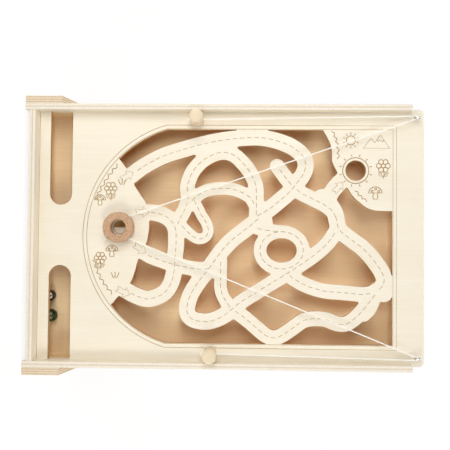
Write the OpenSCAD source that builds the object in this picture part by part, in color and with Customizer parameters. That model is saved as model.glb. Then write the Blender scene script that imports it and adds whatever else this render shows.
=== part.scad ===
// Wooden string-lift labyrinth game, standing on its feet and leaning back.
// Sizes are in millimetres. X runs to the player's right, Y away from the player and Z up.
// Pieces of the case are drawn upright, with u up along the panel from the foot of the rails and
// d going back from the rails' front edges, and then leaned back together.

/* [Stand] */
// Lean of the panel from upright, in degrees
lean = 13; // [6:1:18]
// Thickness of each foot plate
foot_t = 8; // [5:0.5:12]
// Length of a foot's front edge along its rail
foot_h = 38; // [34:1:60]
// Length of a foot on the ground
foot_run = 115; // [100:1:125]
// Radius of a foot's rear top corner
foot_r = 14; // [4:1:25]

/* [Case] */
// Clear width between the side rails
inner_w = 255; // [250:1:300]
// Thickness of the side rails
rail_t = 6.2; // [5:0.1:10]
// Length of the side rails
rail_len = 391.5; // [386:0.5:420]
// How far the rails stand proud of the panel
rail_lip = 12; // [9:0.5:16]
// Depth of the grooves that hold the panel
groove = 3.2; // [2:0.1:4]
// Depth of the space for the balls behind the panel
ball_space = 20; // [18:0.5:30]
// Thickness of the back panel
back_t = 3.5; // [2.5:0.5:6]
// Distance of the back panel's top edge below the panel's top edge
back_inset = 2; // [1:0.5:5]
// Thickness of the tray floor
floor_t = 6.2; // [5:0.1:9]
// Height of the tray floor's underside above the rails' lower ends, at the front
floor_low = 4.4; // [4:0.1:8]
// Slope of the tray floor down to the back when the game stands, in degrees
tray_slope = 8.5; // [6:0.5:10]
// Height of the top rail
top_h = 14.5; // [12:0.5:20]

/* [Panel] */
// Thickness of the front panel
panel_t = 5; // [4:0.5:8]
// Radius of the panel's upper corners
panel_r = 5; // [2:0.5:8]
// Height of the two ball windows
window_h = 23; // [18:0.5:28]
// Height of the windows above the panel's lower edge
window_rise = 11; // [6:0.1:14]
// Width of the bridge between the windows' round ends
window_bridge = 62; // [40:1:90]
// Diameter of the goal hole
goal_d = 21; // [16:0.5:24]
// Place of the goal hole across the panel
goal_x = -68; // [-72:1:-62]
// Height of the goal hole
goal_u = 337; // [334:1:342]

/* [Maze] */
// Width of the field of cut-outs
maze_w = 219; // [200:1:230]
// Height of the field's top edge
maze_top = 374.3; // [370:0.1:380]
// Radius of the arch at the field's foot
arch_r = 114.3; // [112:0.1:118]
// Height of the arch's centre
arch_u = 176.6; // [170:0.1:180]
// Width of the main roads
road_main = 16.5; // [14:0.5:18]
// Width of the lower roads
road_mid = 15; // [13:0.5:17]
// Width of the inner roads
road_slim = 13; // [11:0.5:14]
// Width of the small loop
road_loop = 11; // [9:0.5:12]
// Radius of the corners between roads
bend_r = 1.6; // [1:0.1:2.4]
// Radius of the cut-outs' sharpest corners
cut_r = 0.4; // [0.3:0.1:1]

/* [Ring] */
// Outer diameter of the ring
ring_d = 31; // [28:0.5:34]
// Bore of the ring
ring_bore = 15.5; // [14.5:0.1:18]
// Thickness of the ring
ring_t = 12; // [9:0.5:14]
// Rounding of the ring's edges
ring_edge = 1.5; // [0.5:0.1:2.5]
// Place of the ring across the panel
ring_x = -8; // [-30:1:30]
// Height of the ring
ring_u = 96; // [90:1:110]

/* [Strings] */
// Thickness of the strings
string_d = 1.4; // [1:0.1:1.8]
// Diameter of the holes that the strings pass through
string_hole = 2; // [1.9:0.1:2.4]
// Diameter of the knots
knot_d = 3.8; // [3:0.1:5]
// Wire thickness of the eyes
eye_wire = 1.7; // [1.4:0.1:2.2]
// Clear width inside an eye
eye_hole = 4.6; // [4:0.1:6]
// Depth of an eye's shank in the wood
eye_shank = 16; // [10:0.5:20]
// Distance of an eye from the rail's inner face
eye_inset = 6.5; // [5:0.1:9]
// Height of the eyes above the side rails' ends
eye_rise = 6.5; // [5:0.5:8]

/* [Knobs] */
// Diameter of a knob's head
knob_d = 15; // [14:0.5:17]
// Diameter of a knob's foot
knob_foot = 13; // [11:0.5:13.5]
// Height of a knob
knob_h = 25; // [20:0.5:28]
// Height of a knob's head
knob_head = 9; // [6:0.5:11]
// Distance of a knob from the rail's inner face
knob_inset = 1.4; // [0.5:0.1:2]
// Height of the left knob
left_knob_u = 175; // [150:1:200]
// Height of the right knob
right_knob_u = 190; // [150:1:200]

/* [Balls] */
// Diameter of the steel ball
steel_d = 12; // [10:0.5:14]
// Diameter of the glass marble
marble_d = 14; // [12:0.5:15]
// Distance of the steel ball's middle from the right rail
steel_inset = 63.5; // [59:0.5:187.5]
// Distance of the glass marble's middle from the right rail
marble_inset = 42.5; // [17.5:0.5:43]

/* [Fasteners] */
// Shank diameter of the nails
nail_d = 1.4; // [1:0.1:1.8]
// Head diameter of the nails
nail_head = 3; // [2.4:0.1:3.6]
// Head thickness of the nails
nail_head_t = 0.8; // [0.5:0.1:1.2]
// Length of the nails
nail_len = 16; // [10:0.5:20]
// Nails along each edge of the back panel
back_nails = 5; // [3:1:8]
// Nails along the back panel's ends
end_nails = 3; // [2:1:5]
// Shank diameter of the foot screws
screw_d = 3; // [2.5:0.1:3.5]
// Head diameter of the foot screws
screw_head = 6; // [5:0.1:7]
// Height of the straight rim of the foot screws' heads
screw_rim = 0.5; // [0.3:0.1:0.8]
// Length of the foot screws
screw_len = 12.5; // [11:0.5:13]

/* [Fits] */
// Gap around glued and driven pieces
fit_gap = 0.05; // [0.02:0.01:0.1]
// Gap between a moving piece and what it runs along
run_gap = 0.4; // [0.3:0.05:0.6]
// Gap between the eye's wire and the string that turns over it
turn_gap = 0.2; // [0.1:0.05:0.3]

/* [Hidden] */
$fn = 48;
// Sides of the arch, of the cut-outs' rounded corners and of the roads' round ends
arch_fn = 120;
cut_fn = 16;
road_fn = 32;
// Steps of the rounded corners of boards, of the ring and of the knobs
corner_steps = 8;
edge_steps = 6;

// Sides, as signs of X
LEFT = -1;
RIGHT = 1;

// Colours of the pieces
birch = "#f4ead2";
shaded_birch = "#dcb88c";
beech = "#cda587";
white = "#f6f4ee";
steel = "#b9bcc0";
bottle_green = "#1d3b2a";

// Shares of a board's thickness, of the ball space, of the rails' lip and of a foot's height at
// which the back panel ends and the fasteners sit
back_lap = 1 / 3;
end_nail_share = 0.7;
lip_share = 0.6;
rear_share = 0.6;
top_shares = [0.3, 0.7];
screw_share = 0.35;
screw_shares = [0.55, 0.95];
// Shares of a screw's head that its cross takes up, and of a knob that its straight neck and its
// rounded edges take up
slot_share = 1 / 6;
cross_share = 0.7;
neck_share = 0.8;
edge_share = 1 / 3;
// Shift of the top nails away from the panel's grooves
groove_shift = 0.4;

// Case: faces across the width and planes from front to back
inner_x = inner_w / 2;
outer_x = inner_x + rail_t;
panel_x = inner_x + groove - fit_gap;
panel_back = rail_lip + panel_t;
rail_d = panel_back + ball_space;
case_d = rail_d + back_t;
panel_top = rail_len + top_h;
back_top = panel_top - back_inset;

// Tray floor: its slope from square to the panel, and its faces
floor_tilt = lean - tray_slope;
floor_rise = tan(floor_tilt);
floor_top = floor_low + floor_t;
panel_low = floor_top + panel_back * floor_rise;
back_low = floor_low + rail_d * floor_rise + back_lap * floor_t;
window_low = panel_low + window_rise;

// The ground under the leaning case, and the shift that centres the game over its origin
ground_rise = tan(lean);
reach = max(foot_run, back_top * sin(lean) + case_d * cos(lean));

// Strings: all lie in one plane in front of the panel
string_d0 = rail_lip - run_gap - ring_t / 2;
ring_r = ring_d / 2;
ring_flank = (ring_d + ring_bore) / 4;
ring_mouth = ring_u + sqrt(ring_r * ring_r - ring_flank * ring_flank);
knot_reach = ring_r + knot_d / 2 + fit_gap;
ring_knot_u = ring_u - sqrt(knot_reach * knot_reach - ring_flank * ring_flank);
eye_x = inner_x - eye_inset;
eye_u = rail_len + eye_rise;
eye_r = (eye_hole + eye_wire) / 2;
turn_u = eye_u - eye_r;
turn_r = eye_wire / 2 + turn_gap + string_d / 2;
knob_x = inner_x - knob_d / 2 - knob_inset;
knob_neck = knob_foot / 2;
// Bare string between a hole's mouth and the bend in the string outside it
kink_out = string_d / 2 + fit_gap;

// Points along a smooth curve through hand-chosen points
curve_steps = 3;
function between(p, t) =
    0.5 * (2 * p[1] + (p[2] - p[0]) * t + (2 * p[0] - 5 * p[1] + 4 * p[2] - p[3]) * t * t
    + (3 * p[1] - p[0] - 3 * p[2] + p[3]) * t * t * t);
function around(pts, i) =
    let (n = len(pts) - 1)
    [pts[max(i - 1, 0)], pts[i], pts[i + 1], pts[min(i + 2, n)]];
function smooth(pts) = concat(
    [for (i = [0 : len(pts) - 2]) for (k = [0 : curve_steps - 1])
        between(around(pts, i), k / curve_steps)],
    [pts[len(pts) - 1]]);
function unit(v) = v / norm(v);
function side_of(line, i) =
    let (n = len(line) - 1, v = unit(line[min(i + 1, n)] - line[max(i - 1, 0)]))
    [-v.y, v.x];
function edge_of(line, off) = [for (i = [0 : len(line) - 1]) line[i] + off * side_of(line, i)];
function reversed(list) = [for (i = [len(list) - 1 : -1 : 0]) list[i]];
function arc(c, r, from, to, steps) =
    [for (i = [0 : steps]) let (a = from + (to - from) * i / steps) c + r * [cos(a), sin(a)]];

// Centre lines of the roads, as [across, up] points on the panel
start_one = [
    [-54, 98], [-64, 110], [-72, 121], [-82, 140], [-88.6, 160], [-94.3, 180], [-98.8, 202], [-101, 222],
    [-101.4, 240], [-98, 257], [-92, 272], [-83, 283], [-74, 286], [-65, 284], [-56, 278], [-46, 270],
    [-37, 260], [-28, 249], [-21, 237]
];
start_two = [
    [-24, 108], [-24, 122], [-23, 134], [-18, 146], [-8, 153], [8, 154], [22, 153], [38, 152],
    [49, 149], [58, 143], [63, 134], [65, 125], [62, 114], [57, 104], [52, 96]
];
start_three = [[6, 106], [14, 116], [21, 127], [25, 138], [29, 150], [32, 164], [34, 178], [33, 192]];
outer_dome = [
    [-34, 167], [-49, 165], [-58, 167], [-67, 171], [-77, 180], [-84, 192], [-86, 203], [-83, 213],
    [-76, 221], [-66, 229], [-53, 235], [-38, 236], [-22, 236]
];
inner_dome = [
    [-30, 165], [-41, 175], [-47, 186], [-49, 200], [-48, 212], [-44, 223], [-38, 231], [-26, 237]
];
small_loop = [
    [-38, 171], [-29, 176], [-21, 180], [-13, 185], [-5, 187], [1, 184], [3, 178], [1, 172], [-4, 166],
    [-10, 160]
];
loop_link = [[-8, 154], [-18, 158], [-28, 163], [-40, 167]];
long_bend = [
    [-18, 238], [-11, 230], [-4, 221], [5, 210], [15, 201], [26, 193], [36, 186], [46, 178], [57, 171],
    [67, 167], [77, 166], [84, 170], [87, 179], [87, 189], [83, 200], [76, 211]
];
cross_road = [
    [83, 200], [76, 210], [67, 221], [58, 235], [48, 251], [38, 267], [28, 282], [18, 296], [6, 309],
    [-6, 317]
];
middle_link = [[24, 200], [32, 200], [42, 200], [52, 200], [60, 202], [67, 206], [74, 211]];
dead_end = [[-50, 274], [-60, 266], [-72, 257]];
oval_link = [[-12, 228], [-8, 238], [-6, 250], [-5, 262]];
upper_link = [[-50, 276], [-45, 281], [-41, 289], [-37, 297], [-33, 305], [-27, 313], [-20, 317]];
goal_road = [[-63, 329], [-55, 320], [-45, 312], [-36, 309]];
right_loop = [
    [-40, 304], [-33, 311], [-25, 316], [-16, 318], [-7, 321], [2, 332], [10, 343], [19, 352], [28, 359],
    [36, 364], [44, 366], [51, 363], [56, 356]
];
lower_road = [
    [44, 366], [51, 363], [56, 356], [58, 345], [57, 331], [56, 318], [55, 306], [52, 294], [48, 284],
    [43, 275], [37, 267]
];
wavy_road = [
    [74, 212], [84, 226], [94, 238], [101, 247], [103, 256], [99, 265], [92, 275], [85, 285], [83, 297],
    [84, 308], [88, 318], [88, 328], [81, 338], [71, 347], [62, 354], [52, 362]
];
passing_place = [[80, 346], [74, 352], [66, 356]];
// The oval road: its centre and its half widths across and up
oval_at = [14, 262];
oval_half = [19, 22];
oval_points = 40;
// Round places where roads meet, as [across, up, radius]
plazas = [[-14, 240, 13], [-40, 303, 9], [50, 365.8, 9], [56.5, 365.6, 9.2]];
// Edges of the start area and of the goal corner
start_edge = [
    [-90, 86], [-78, 95], [-70, 101], [-60, 106], [-52, 110], [-40, 118], [-32, 123], [-13, 126], [0, 125],
    [8, 123], [25, 115], [36, 112], [47, 108], [58, 99], [66, 92], [71, 88], [82, 78]
];
start_foot = 40;
goal_edge = [
    [-115, 300], [-109, 304], [-100, 309], [-93, 312], [-85, 313], [-78, 313], [-73, 315], [-67, 318],
    [-58, 323], [-50, 329], [-45, 332], [-40, 336], [-35, 342], [-31, 347], [-28, 354], [-27, 362],
    [-27, 380]
];

// Places of the fasteners
nail_x = inner_x + rail_t / 2;
nail_margin = 25;
nail_step = (rail_len - window_low - 2 * nail_margin) / (back_nails - 1);
end_span = inner_w - 4 * nail_margin;
end_step = end_span / (end_nails - 1);
floor_nail_u = floor_low + rail_d * floor_rise + end_nail_share * floor_t;
floor_nail_places = [rail_lip * lip_share, panel_back + ball_space * rear_share];
top_nail_places = [for (share = top_shares) panel_back + ball_space * share];
top_nail_x = inner_x + groove / 2 + groove_shift;
screw_d0 = panel_back + ball_space * screw_share;
screw_places = [for (share = screw_shares) share * foot_h];
slot_w = screw_head * slot_share;

// Carries a piece drawn upright to its place in the leaning game
module leaning() {
    translate([0, -reach / 2, 0]) rotate([-lean, 0, 0]) children();
}

// A sheet lying along the panel: its outline is drawn as [across, up]
module sheet(front, thick) {
    translate([0, front + thick, 0]) rotate([90, 0, 0]) linear_extrude(thick) children();
}

// A board seen from the side: its outline is drawn as [back, up]
module board(from_x, thick) {
    translate([from_x, 0, 0]) rotate([90, 0, 90]) linear_extrude(thick) children();
}

// Turns a piece made for the left-hand side into the one for the given side
module on_side(side) {
    mirror([side == RIGHT ? 1 : 0, 0, 0]) children();
}

// A round bar between two points
module bar(from, to, d) {
    v = to - from;
    translate(from)
        rotate([0, acos(v.z / norm(v)), atan2(v.y, v.x)])
            cylinder(d = d, h = norm(v));
}

// A road of the given width along a centre line, with round ends
module road(pts, width) {
    line = smooth(pts);
    polygon(concat(edge_of(line, width / 2), reversed(edge_of(line, -width / 2))));
    for (end = [line[0], line[len(line) - 1]])
        translate(end) circle(d = width, $fn = road_fn);
}

module oval(grow) {
    polygon([for (i = [0 : oval_points - 1])
        let (a = 360 * i / oval_points)
        oval_at + [(oval_half.x + grow) * cos(a), (oval_half.y + grow) * sin(a)]]);
}

module roads() {
    for (pts = [start_one, start_two, long_bend, right_loop, goal_road])
        road(pts, road_main);
    for (pts = [start_three, loop_link, outer_dome, cross_road, upper_link, lower_road, wavy_road, dead_end])
        road(pts, road_mid);
    for (pts = [inner_dome, oval_link, middle_link])
        road(pts, road_slim);
    for (pts = [small_loop, passing_place])
        road(pts, road_loop);
    difference() {
        oval(road_slim / 2);
        oval(-road_slim / 2);
    }
    for (p = plazas)
        translate([p[0], p[1]]) circle(r = p[2]);
}

// Solid places at the foot of the maze and round the goal hole
module start_and_goal() {
    start_line = smooth(start_edge);
    first = start_edge[0];
    last = start_edge[len(start_edge) - 1];
    polygon(concat(start_line, [[last.x, start_foot], [first.x, start_foot]]));
    goal_line = smooth(goal_edge);
    polygon(concat(goal_line, [[goal_edge[0].x, goal_edge[len(goal_edge) - 1].y]]));
}

// The whole field that is cut away between the roads
module maze_field() {
    intersection() {
        translate([-maze_w / 2, arch_u - arch_r]) square([maze_w, maze_top - arch_u + arch_r]);
        union() {
            translate([0, arch_u]) circle(r = arch_r, $fn = arch_fn);
            translate([-arch_r, arch_u]) square([2 * arch_r, maze_top - arch_u]);
        }
    }
}

module cut_outs() {
    offset(r = cut_r, $fn = cut_fn) offset(r = -cut_r, $fn = cut_fn) difference() {
        maze_field();
        offset(r = -bend_r, $fn = cut_fn) offset(r = bend_r, $fn = cut_fn) {
            roads();
            start_and_goal();
        }
    }
}

// Outline of the panel from a height up to its rounded top corners
module panel_outline(low) {
    corner = panel_x - panel_r;
    polygon(concat(
        [[-panel_x, low], [panel_x, low]],
        arc([corner, panel_top - panel_r], panel_r, 0, 90, corner_steps),
        arc([-corner, panel_top - panel_r], panel_r, 90, 180, corner_steps)));
}

// A ball window, open at the panel's side edge and round at its inner end
module window() {
    mid = window_low + window_h / 2;
    inner_end = window_bridge / 2 + window_h / 2;
    translate([inner_end, window_low]) square([panel_x, window_h]);
    translate([inner_end, mid]) circle(d = window_h);
}

// Bores for the shanks of the two eyes
module eye_bores(from, to) {
    for (side = [LEFT, RIGHT])
        bar([side * eye_x, from, eye_u], [side * eye_x, to, eye_u], eye_wire + 2 * fit_gap);
}

// A nail driven along +Z with the top of its head at the origin, grown by a gap to make its hole
module nail(gap) {
    cylinder(d = nail_head + 2 * gap, h = nail_head_t);
    cylinder(d = nail_d + 2 * gap, h = nail_len + gap);
}

// Nails driven forward through the back panel
module back_nail_group(gap) {
    for (side = [LEFT, RIGHT]) for (i = [0 : back_nails - 1])
        translate([side * nail_x, case_d, window_low + nail_margin + i * nail_step])
            rotate([90, 0, 0]) nail(gap);
    for (i = [0 : end_nails - 1]) for (u = [floor_nail_u, rail_len + top_h / 2])
        translate([i * end_step - end_span / 2, case_d, u]) rotate([90, 0, 0]) nail(gap);
}

// Nails driven inward through the side rails into the ends of the tray floor
module floor_nail_group(gap) {
    for (side = [LEFT, RIGHT]) on_side(side) for (d = floor_nail_places)
        translate([-outer_x, d, floor_low + floor_t / 2 + d * floor_rise]) rotate([0, 90, 0]) nail(gap);
}

// Nails driven down through the top rail into the ends of the side rails
module top_nail_group(gap) {
    for (side = [LEFT, RIGHT]) for (d = top_nail_places)
        translate([side * top_nail_x, d, panel_top]) rotate([180, 0, 0]) nail(gap);
}

// A countersunk screw driven along +Z with its head flush at the origin
module screw(gap) {
    sink = (screw_head - screw_d) / 2;
    translate([0, 0, -gap]) cylinder(d = screw_head + 2 * gap, h = screw_rim + gap);
    translate([0, 0, screw_rim]) cylinder(d1 = screw_head + 2 * gap, d2 = screw_d + 2 * gap, h = sink);
    cylinder(d = screw_d + 2 * gap, h = screw_len + gap);
}

// Screws driven inward through the feet into the side rails
module screw_group(gap) {
    for (side = [LEFT, RIGHT]) on_side(side) for (u = screw_places)
        translate([-outer_x - foot_t, screw_d0, u]) rotate([0, 90, 0]) children();
}

module front_panel() {
    color(birch) leaning() difference() {
        sheet(rail_lip, panel_t) difference() {
            panel_outline(panel_low);
            cut_outs();
            window();
            mirror([1, 0]) window();
            translate([goal_x, goal_u]) circle(d = goal_d);
        }
        eye_bores(0, rail_d);
    }
}

module back_panel() {
    color(shaded_birch) leaning() difference() {
        sheet(rail_d, back_t)
            translate([-outer_x, back_low]) square([2 * outer_x, back_top - back_low]);
        back_nail_group(fit_gap);
    }
}

module rail(side) {
    color(birch) leaning() difference() {
        on_side(side) difference() {
            board(-outer_x, rail_t)
                polygon([[0, 0], [rail_d, rail_d * ground_rise], [rail_d, rail_len], [0, rail_len]]);
            translate([-inner_x - groove, rail_lip - fit_gap, panel_low - fit_gap])
                cube([2 * groove, panel_t + 2 * fit_gap, rail_len]);
        }
        back_nail_group(fit_gap);
        floor_nail_group(fit_gap);
        top_nail_group(fit_gap);
        screw_group(fit_gap) screw(fit_gap);
    }
}

module tray_floor() {
    back_rise = rail_d * floor_rise;
    color(birch) leaning() difference() {
        board(-inner_x, inner_w)
            polygon([[0, floor_low], [rail_d, floor_low + back_rise], [rail_d, floor_top + back_rise],
                [0, floor_top]]);
        back_nail_group(fit_gap);
        floor_nail_group(fit_gap);
    }
}

module top_rail() {
    color(birch) leaning() difference() {
        sheet(panel_back, ball_space) panel_outline(rail_len);
        eye_bores(0, rail_lip + eye_shank + fit_gap);
        back_nail_group(fit_gap);
        top_nail_group(fit_gap);
    }
}

module foot(side) {
    height = foot_h * cos(lean);
    nose = foot_h * sin(lean);
    color(birch) difference() {
        on_side(side) translate([0, -reach / 2, 0]) board(-outer_x - foot_t, foot_t)
            polygon(concat(
                [[0, 0], [foot_run, 0]],
                arc([foot_run - foot_r, height - foot_r], foot_r, 0, 90, corner_steps),
                [[nose, height]]));
        leaning() screw_group(fit_gap) screw(fit_gap);
    }
}

// The ring lies on the panel with its bore square to it
module ring() {
    wall = (ring_d - ring_bore) / 2;
    corners = [[ring_edge, ring_edge, 180], [wall - ring_edge, ring_edge, 270],
        [wall - ring_edge, ring_t - ring_edge, 0], [ring_edge, ring_t - ring_edge, 90]];
    color(beech) leaning() difference() {
        translate([ring_x, rail_lip - run_gap, ring_u]) rotate([90, 0, 0]) rotate_extrude()
            translate([ring_bore / 2, 0]) polygon([for (c = corners)
                each arc([c[0], c[1]], ring_edge, c[2], c[2] + 90, edge_steps)]);
        for (side = [LEFT, RIGHT])
            translate([ring_x + side * ring_flank, string_d0, ring_u - ring_d])
                cylinder(d = string_hole, h = 2 * ring_d);
    }
}

// A turned knob that stands on the panel, cross-bored for its string
module knob(side, knob_u) {
    neck_h = knob_h - knob_head;
    head_r = knob_d / 2;
    lip = knob_head * edge_share;
    color(birch) leaning() difference() {
        translate([side * knob_x, rail_lip - run_gap, knob_u]) rotate([90, 0, 0]) rotate_extrude()
            polygon(concat(
                [[0, 0], [knob_neck, 0], [knob_neck, neck_h * neck_share]],
                arc([head_r - lip, neck_h + lip], lip, -60, 0, edge_steps),
                arc([head_r - lip, knob_h - lip], lip, 0, 90, edge_steps),
                [[0, knob_h]]));
        translate([side * knob_x, string_d0, knob_u - knob_d])
            cylinder(d = string_hole, h = 2 * knob_d);
    }
}

// A screw eye: its loop stands along the panel's height and its shank goes into the wood
module eye(side) {
    color(steel) leaning() translate([side * eye_x, string_d0, eye_u]) union() {
        rotate([0, 90, 0]) rotate_extrude() translate([eye_r, 0]) circle(d = eye_wire);
        translate([0, eye_r, 0]) rotate([-90, 0, 0])
            cylinder(d = eye_wire, h = rail_lip + eye_shank - string_d0 - eye_r);
    }
}

// Strings are drawn for the left-hand side: the bend outside the ring or the knob, and the points
// where the string leaves the eye's wire
function ring_kink(side) = [-side * ring_x - ring_flank, ring_mouth + kink_out];
function knob_kink(knob_u) = [-knob_x, knob_u + knob_neck + kink_out];
turn_at = [-eye_x, turn_u];
function heading(to) = atan2(to.y - turn_at.y, to.x - turn_at.x);
function opening_angle(to) = acos(turn_r / norm(to - turn_at));
function ring_side_angle(side) =
    let (k = ring_kink(side)) heading(k) + opening_angle(k);
function knob_side_angle(knob_u) =
    let (k = knob_kink(knob_u)) heading(k) - opening_angle(k) + 360;
function on_turn(a) = turn_at + turn_r * [cos(a), sin(a)];
function in_string_plane(p) = [p.x, string_d0, p.y];

// A straight stretch of string from the eye's wire to just short of a bend
module stretch(from, to) {
    stop = to - (kink_out + run_gap) * unit(to - from);
    bar(in_string_plane(from), in_string_plane(stop), string_d);
}

module string_span(side) {
    color(white) leaning() on_side(side)
        stretch(on_turn(ring_side_angle(side)), ring_kink(side));
}

module string_return(side, knob_u) {
    color(white) leaning() on_side(side)
        stretch(on_turn(knob_side_angle(knob_u)), knob_kink(knob_u));
}

// The part of the string that turns over the eye's wire
module string_turn(side, knob_u) {
    from = ring_side_angle(side);
    color(white) leaning() on_side(side)
        translate(in_string_plane(turn_at)) rotate([90, 0, 0])
            rotate_extrude(angle = knob_side_angle(knob_u) - from, start = from)
                translate([turn_r, 0]) circle(d = string_d);
}

// A knot below a hole, the string through the hole and its rounded bend above it
module knot(at_x, knot_u, kink_u) {
    translate([at_x, string_d0, knot_u]) {
        sphere(d = knot_d);
        cylinder(d = string_d, h = kink_u - knot_u);
    }
    translate([at_x, string_d0, kink_u]) sphere(d = string_d);
}

module ring_knots() {
    color(white) leaning() for (side = [LEFT, RIGHT])
        knot(ring_x + side * ring_flank, ring_knot_u, ring_mouth + kink_out);
}

module knob_knot(side, knob_u) {
    color(white) leaning()
        knot(side * knob_x, knob_u - knob_neck - knot_d / 2 - fit_gap, knob_kink(knob_u).y);
}

// A ball that rests on the tray floor against the back panel
module ball(d, x) {
    r = d / 2;
    back = rail_d - run_gap - r;
    leaning() translate([x, back, floor_top + back * floor_rise + (r + run_gap) / cos(floor_tilt)])
        sphere(r = r);
}

module steel_ball() {
    color(steel) ball(steel_d, inner_x - steel_inset);
}

module glass_marble() {
    color(bottle_green) ball(marble_d, inner_x - marble_inset);
}

module back_nails_set() {
    color(steel) leaning() back_nail_group(0);
}

module floor_nails() {
    color(steel) leaning() floor_nail_group(0);
}

module top_nails() {
    color(steel) leaning() top_nail_group(0);
}

module foot_screws() {
    color(steel) leaning() screw_group(0) difference() {
        screw(0);
        for (turn = [0, 90]) rotate([0, 0, turn])
            cube([screw_head * cross_share, slot_w, 2 * slot_w], center = true);
    }
}

front_panel();
back_panel();
rail(LEFT);  // left_rail
rail(RIGHT);  // right_rail
tray_floor();
top_rail();
foot(LEFT);  // left_foot
foot(RIGHT);  // right_foot
ring();
knob(LEFT, left_knob_u);  // left_knob
knob(RIGHT, right_knob_u);  // right_knob
eye(LEFT);  // left_eye
eye(RIGHT);  // right_eye
string_span(LEFT);  // left_string_span
string_span(RIGHT);  // right_string_span
string_turn(LEFT, left_knob_u);  // left_string_turn
string_turn(RIGHT, right_knob_u);  // right_string_turn
string_return(LEFT, left_knob_u);  // left_string_return
string_return(RIGHT, right_knob_u);  // right_string_return
ring_knots();
knob_knot(LEFT, left_knob_u);  // left_knob_knot
knob_knot(RIGHT, right_knob_u);  // right_knob_knot
steel_ball();
glass_marble();
back_nails_set();
floor_nails();
top_nails();
foot_screws();
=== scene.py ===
"""Looks of a wooden string-lift labyrinth game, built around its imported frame."""

import logging
import math
from dataclasses import dataclass, field
from enum import Enum

import bpy
from mathutils import Matrix, Vector


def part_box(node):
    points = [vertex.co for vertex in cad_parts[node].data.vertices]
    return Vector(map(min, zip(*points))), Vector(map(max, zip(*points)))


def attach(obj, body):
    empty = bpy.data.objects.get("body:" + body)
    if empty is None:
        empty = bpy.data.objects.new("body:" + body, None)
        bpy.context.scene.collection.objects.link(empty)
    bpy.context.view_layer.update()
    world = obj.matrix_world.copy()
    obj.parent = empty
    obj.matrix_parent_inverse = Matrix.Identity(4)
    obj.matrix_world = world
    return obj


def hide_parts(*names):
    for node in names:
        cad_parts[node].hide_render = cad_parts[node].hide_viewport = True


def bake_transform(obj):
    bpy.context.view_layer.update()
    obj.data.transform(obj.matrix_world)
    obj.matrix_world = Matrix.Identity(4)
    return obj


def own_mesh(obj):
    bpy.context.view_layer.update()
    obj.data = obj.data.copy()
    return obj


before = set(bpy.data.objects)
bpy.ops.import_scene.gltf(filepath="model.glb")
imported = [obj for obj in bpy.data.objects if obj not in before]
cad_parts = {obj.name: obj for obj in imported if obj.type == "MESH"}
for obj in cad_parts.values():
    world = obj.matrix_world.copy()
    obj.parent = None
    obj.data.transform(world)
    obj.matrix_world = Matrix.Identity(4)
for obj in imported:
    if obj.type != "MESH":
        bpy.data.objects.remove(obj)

LOG = logging.getLogger("labyrinth")
MM = 0.001
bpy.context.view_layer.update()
ACROSS = Vector((1.0, 0.0, 0.0))
Point = tuple[float, float]
Spot = tuple[float, float, float]
Colour = tuple[float, float, float]
Line = list[Point]


@dataclass(frozen=True)
class PanelFrame:
    """The leaning panel's own frame in millimetres: x across, u up the panel, n out of its face."""

    lean: float = 13.0
    lip: float = 12.0
    half_reach: float = 65.171

    @property
    def up(self) -> Vector:
        """Direction up along the panel."""
        return Vector((0.0, math.sin(math.radians(self.lean)), math.cos(math.radians(self.lean))))

    @property
    def out(self) -> Vector:
        """Direction out of the panel's face."""
        return Vector((0.0, -math.cos(math.radians(self.lean)), math.sin(math.radians(self.lean))))

    def at(self, x: float, u: float, n: float = 0.0) -> Vector:
        """Finds the place of a panel point in the row frame.

        Args:
            x: Distance across the panel.
            u: Distance up the panel.
            n: Distance out of its front face.

        Returns:
            The point in metres.
        """
        depth = self.lip - n
        foot = Vector((x, -self.half_reach, 0.0))
        return (foot + self.up * u - self.out * depth) * MM

    def matrix(self) -> Matrix:
        """Matrix that lays a piece drawn flat, with x, u, n as X, Y, Z, onto the panel."""
        turn = Matrix((ACROSS, self.up, self.out)).transposed().to_4x4()
        return Matrix.Translation(self.at(0.0, 0.0)) @ turn


PANEL = PanelFrame()

# Heights over the panel's face in millimetres: the strings, and the undersides of ring and knobs
STRING_PLANE = 6.4
PLAY = 0.4


class Side(Enum):
    """The two sides of the game, as signs of X."""

    LEFT = -1
    RIGHT = 1

    @property
    def word(self) -> str:
        """The side's name for pieces."""
        return self.name.lower()


@dataclass(frozen=True)
class Tones:
    """The light and the dark tone of a surface."""

    light: Colour
    dark: Colour


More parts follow.
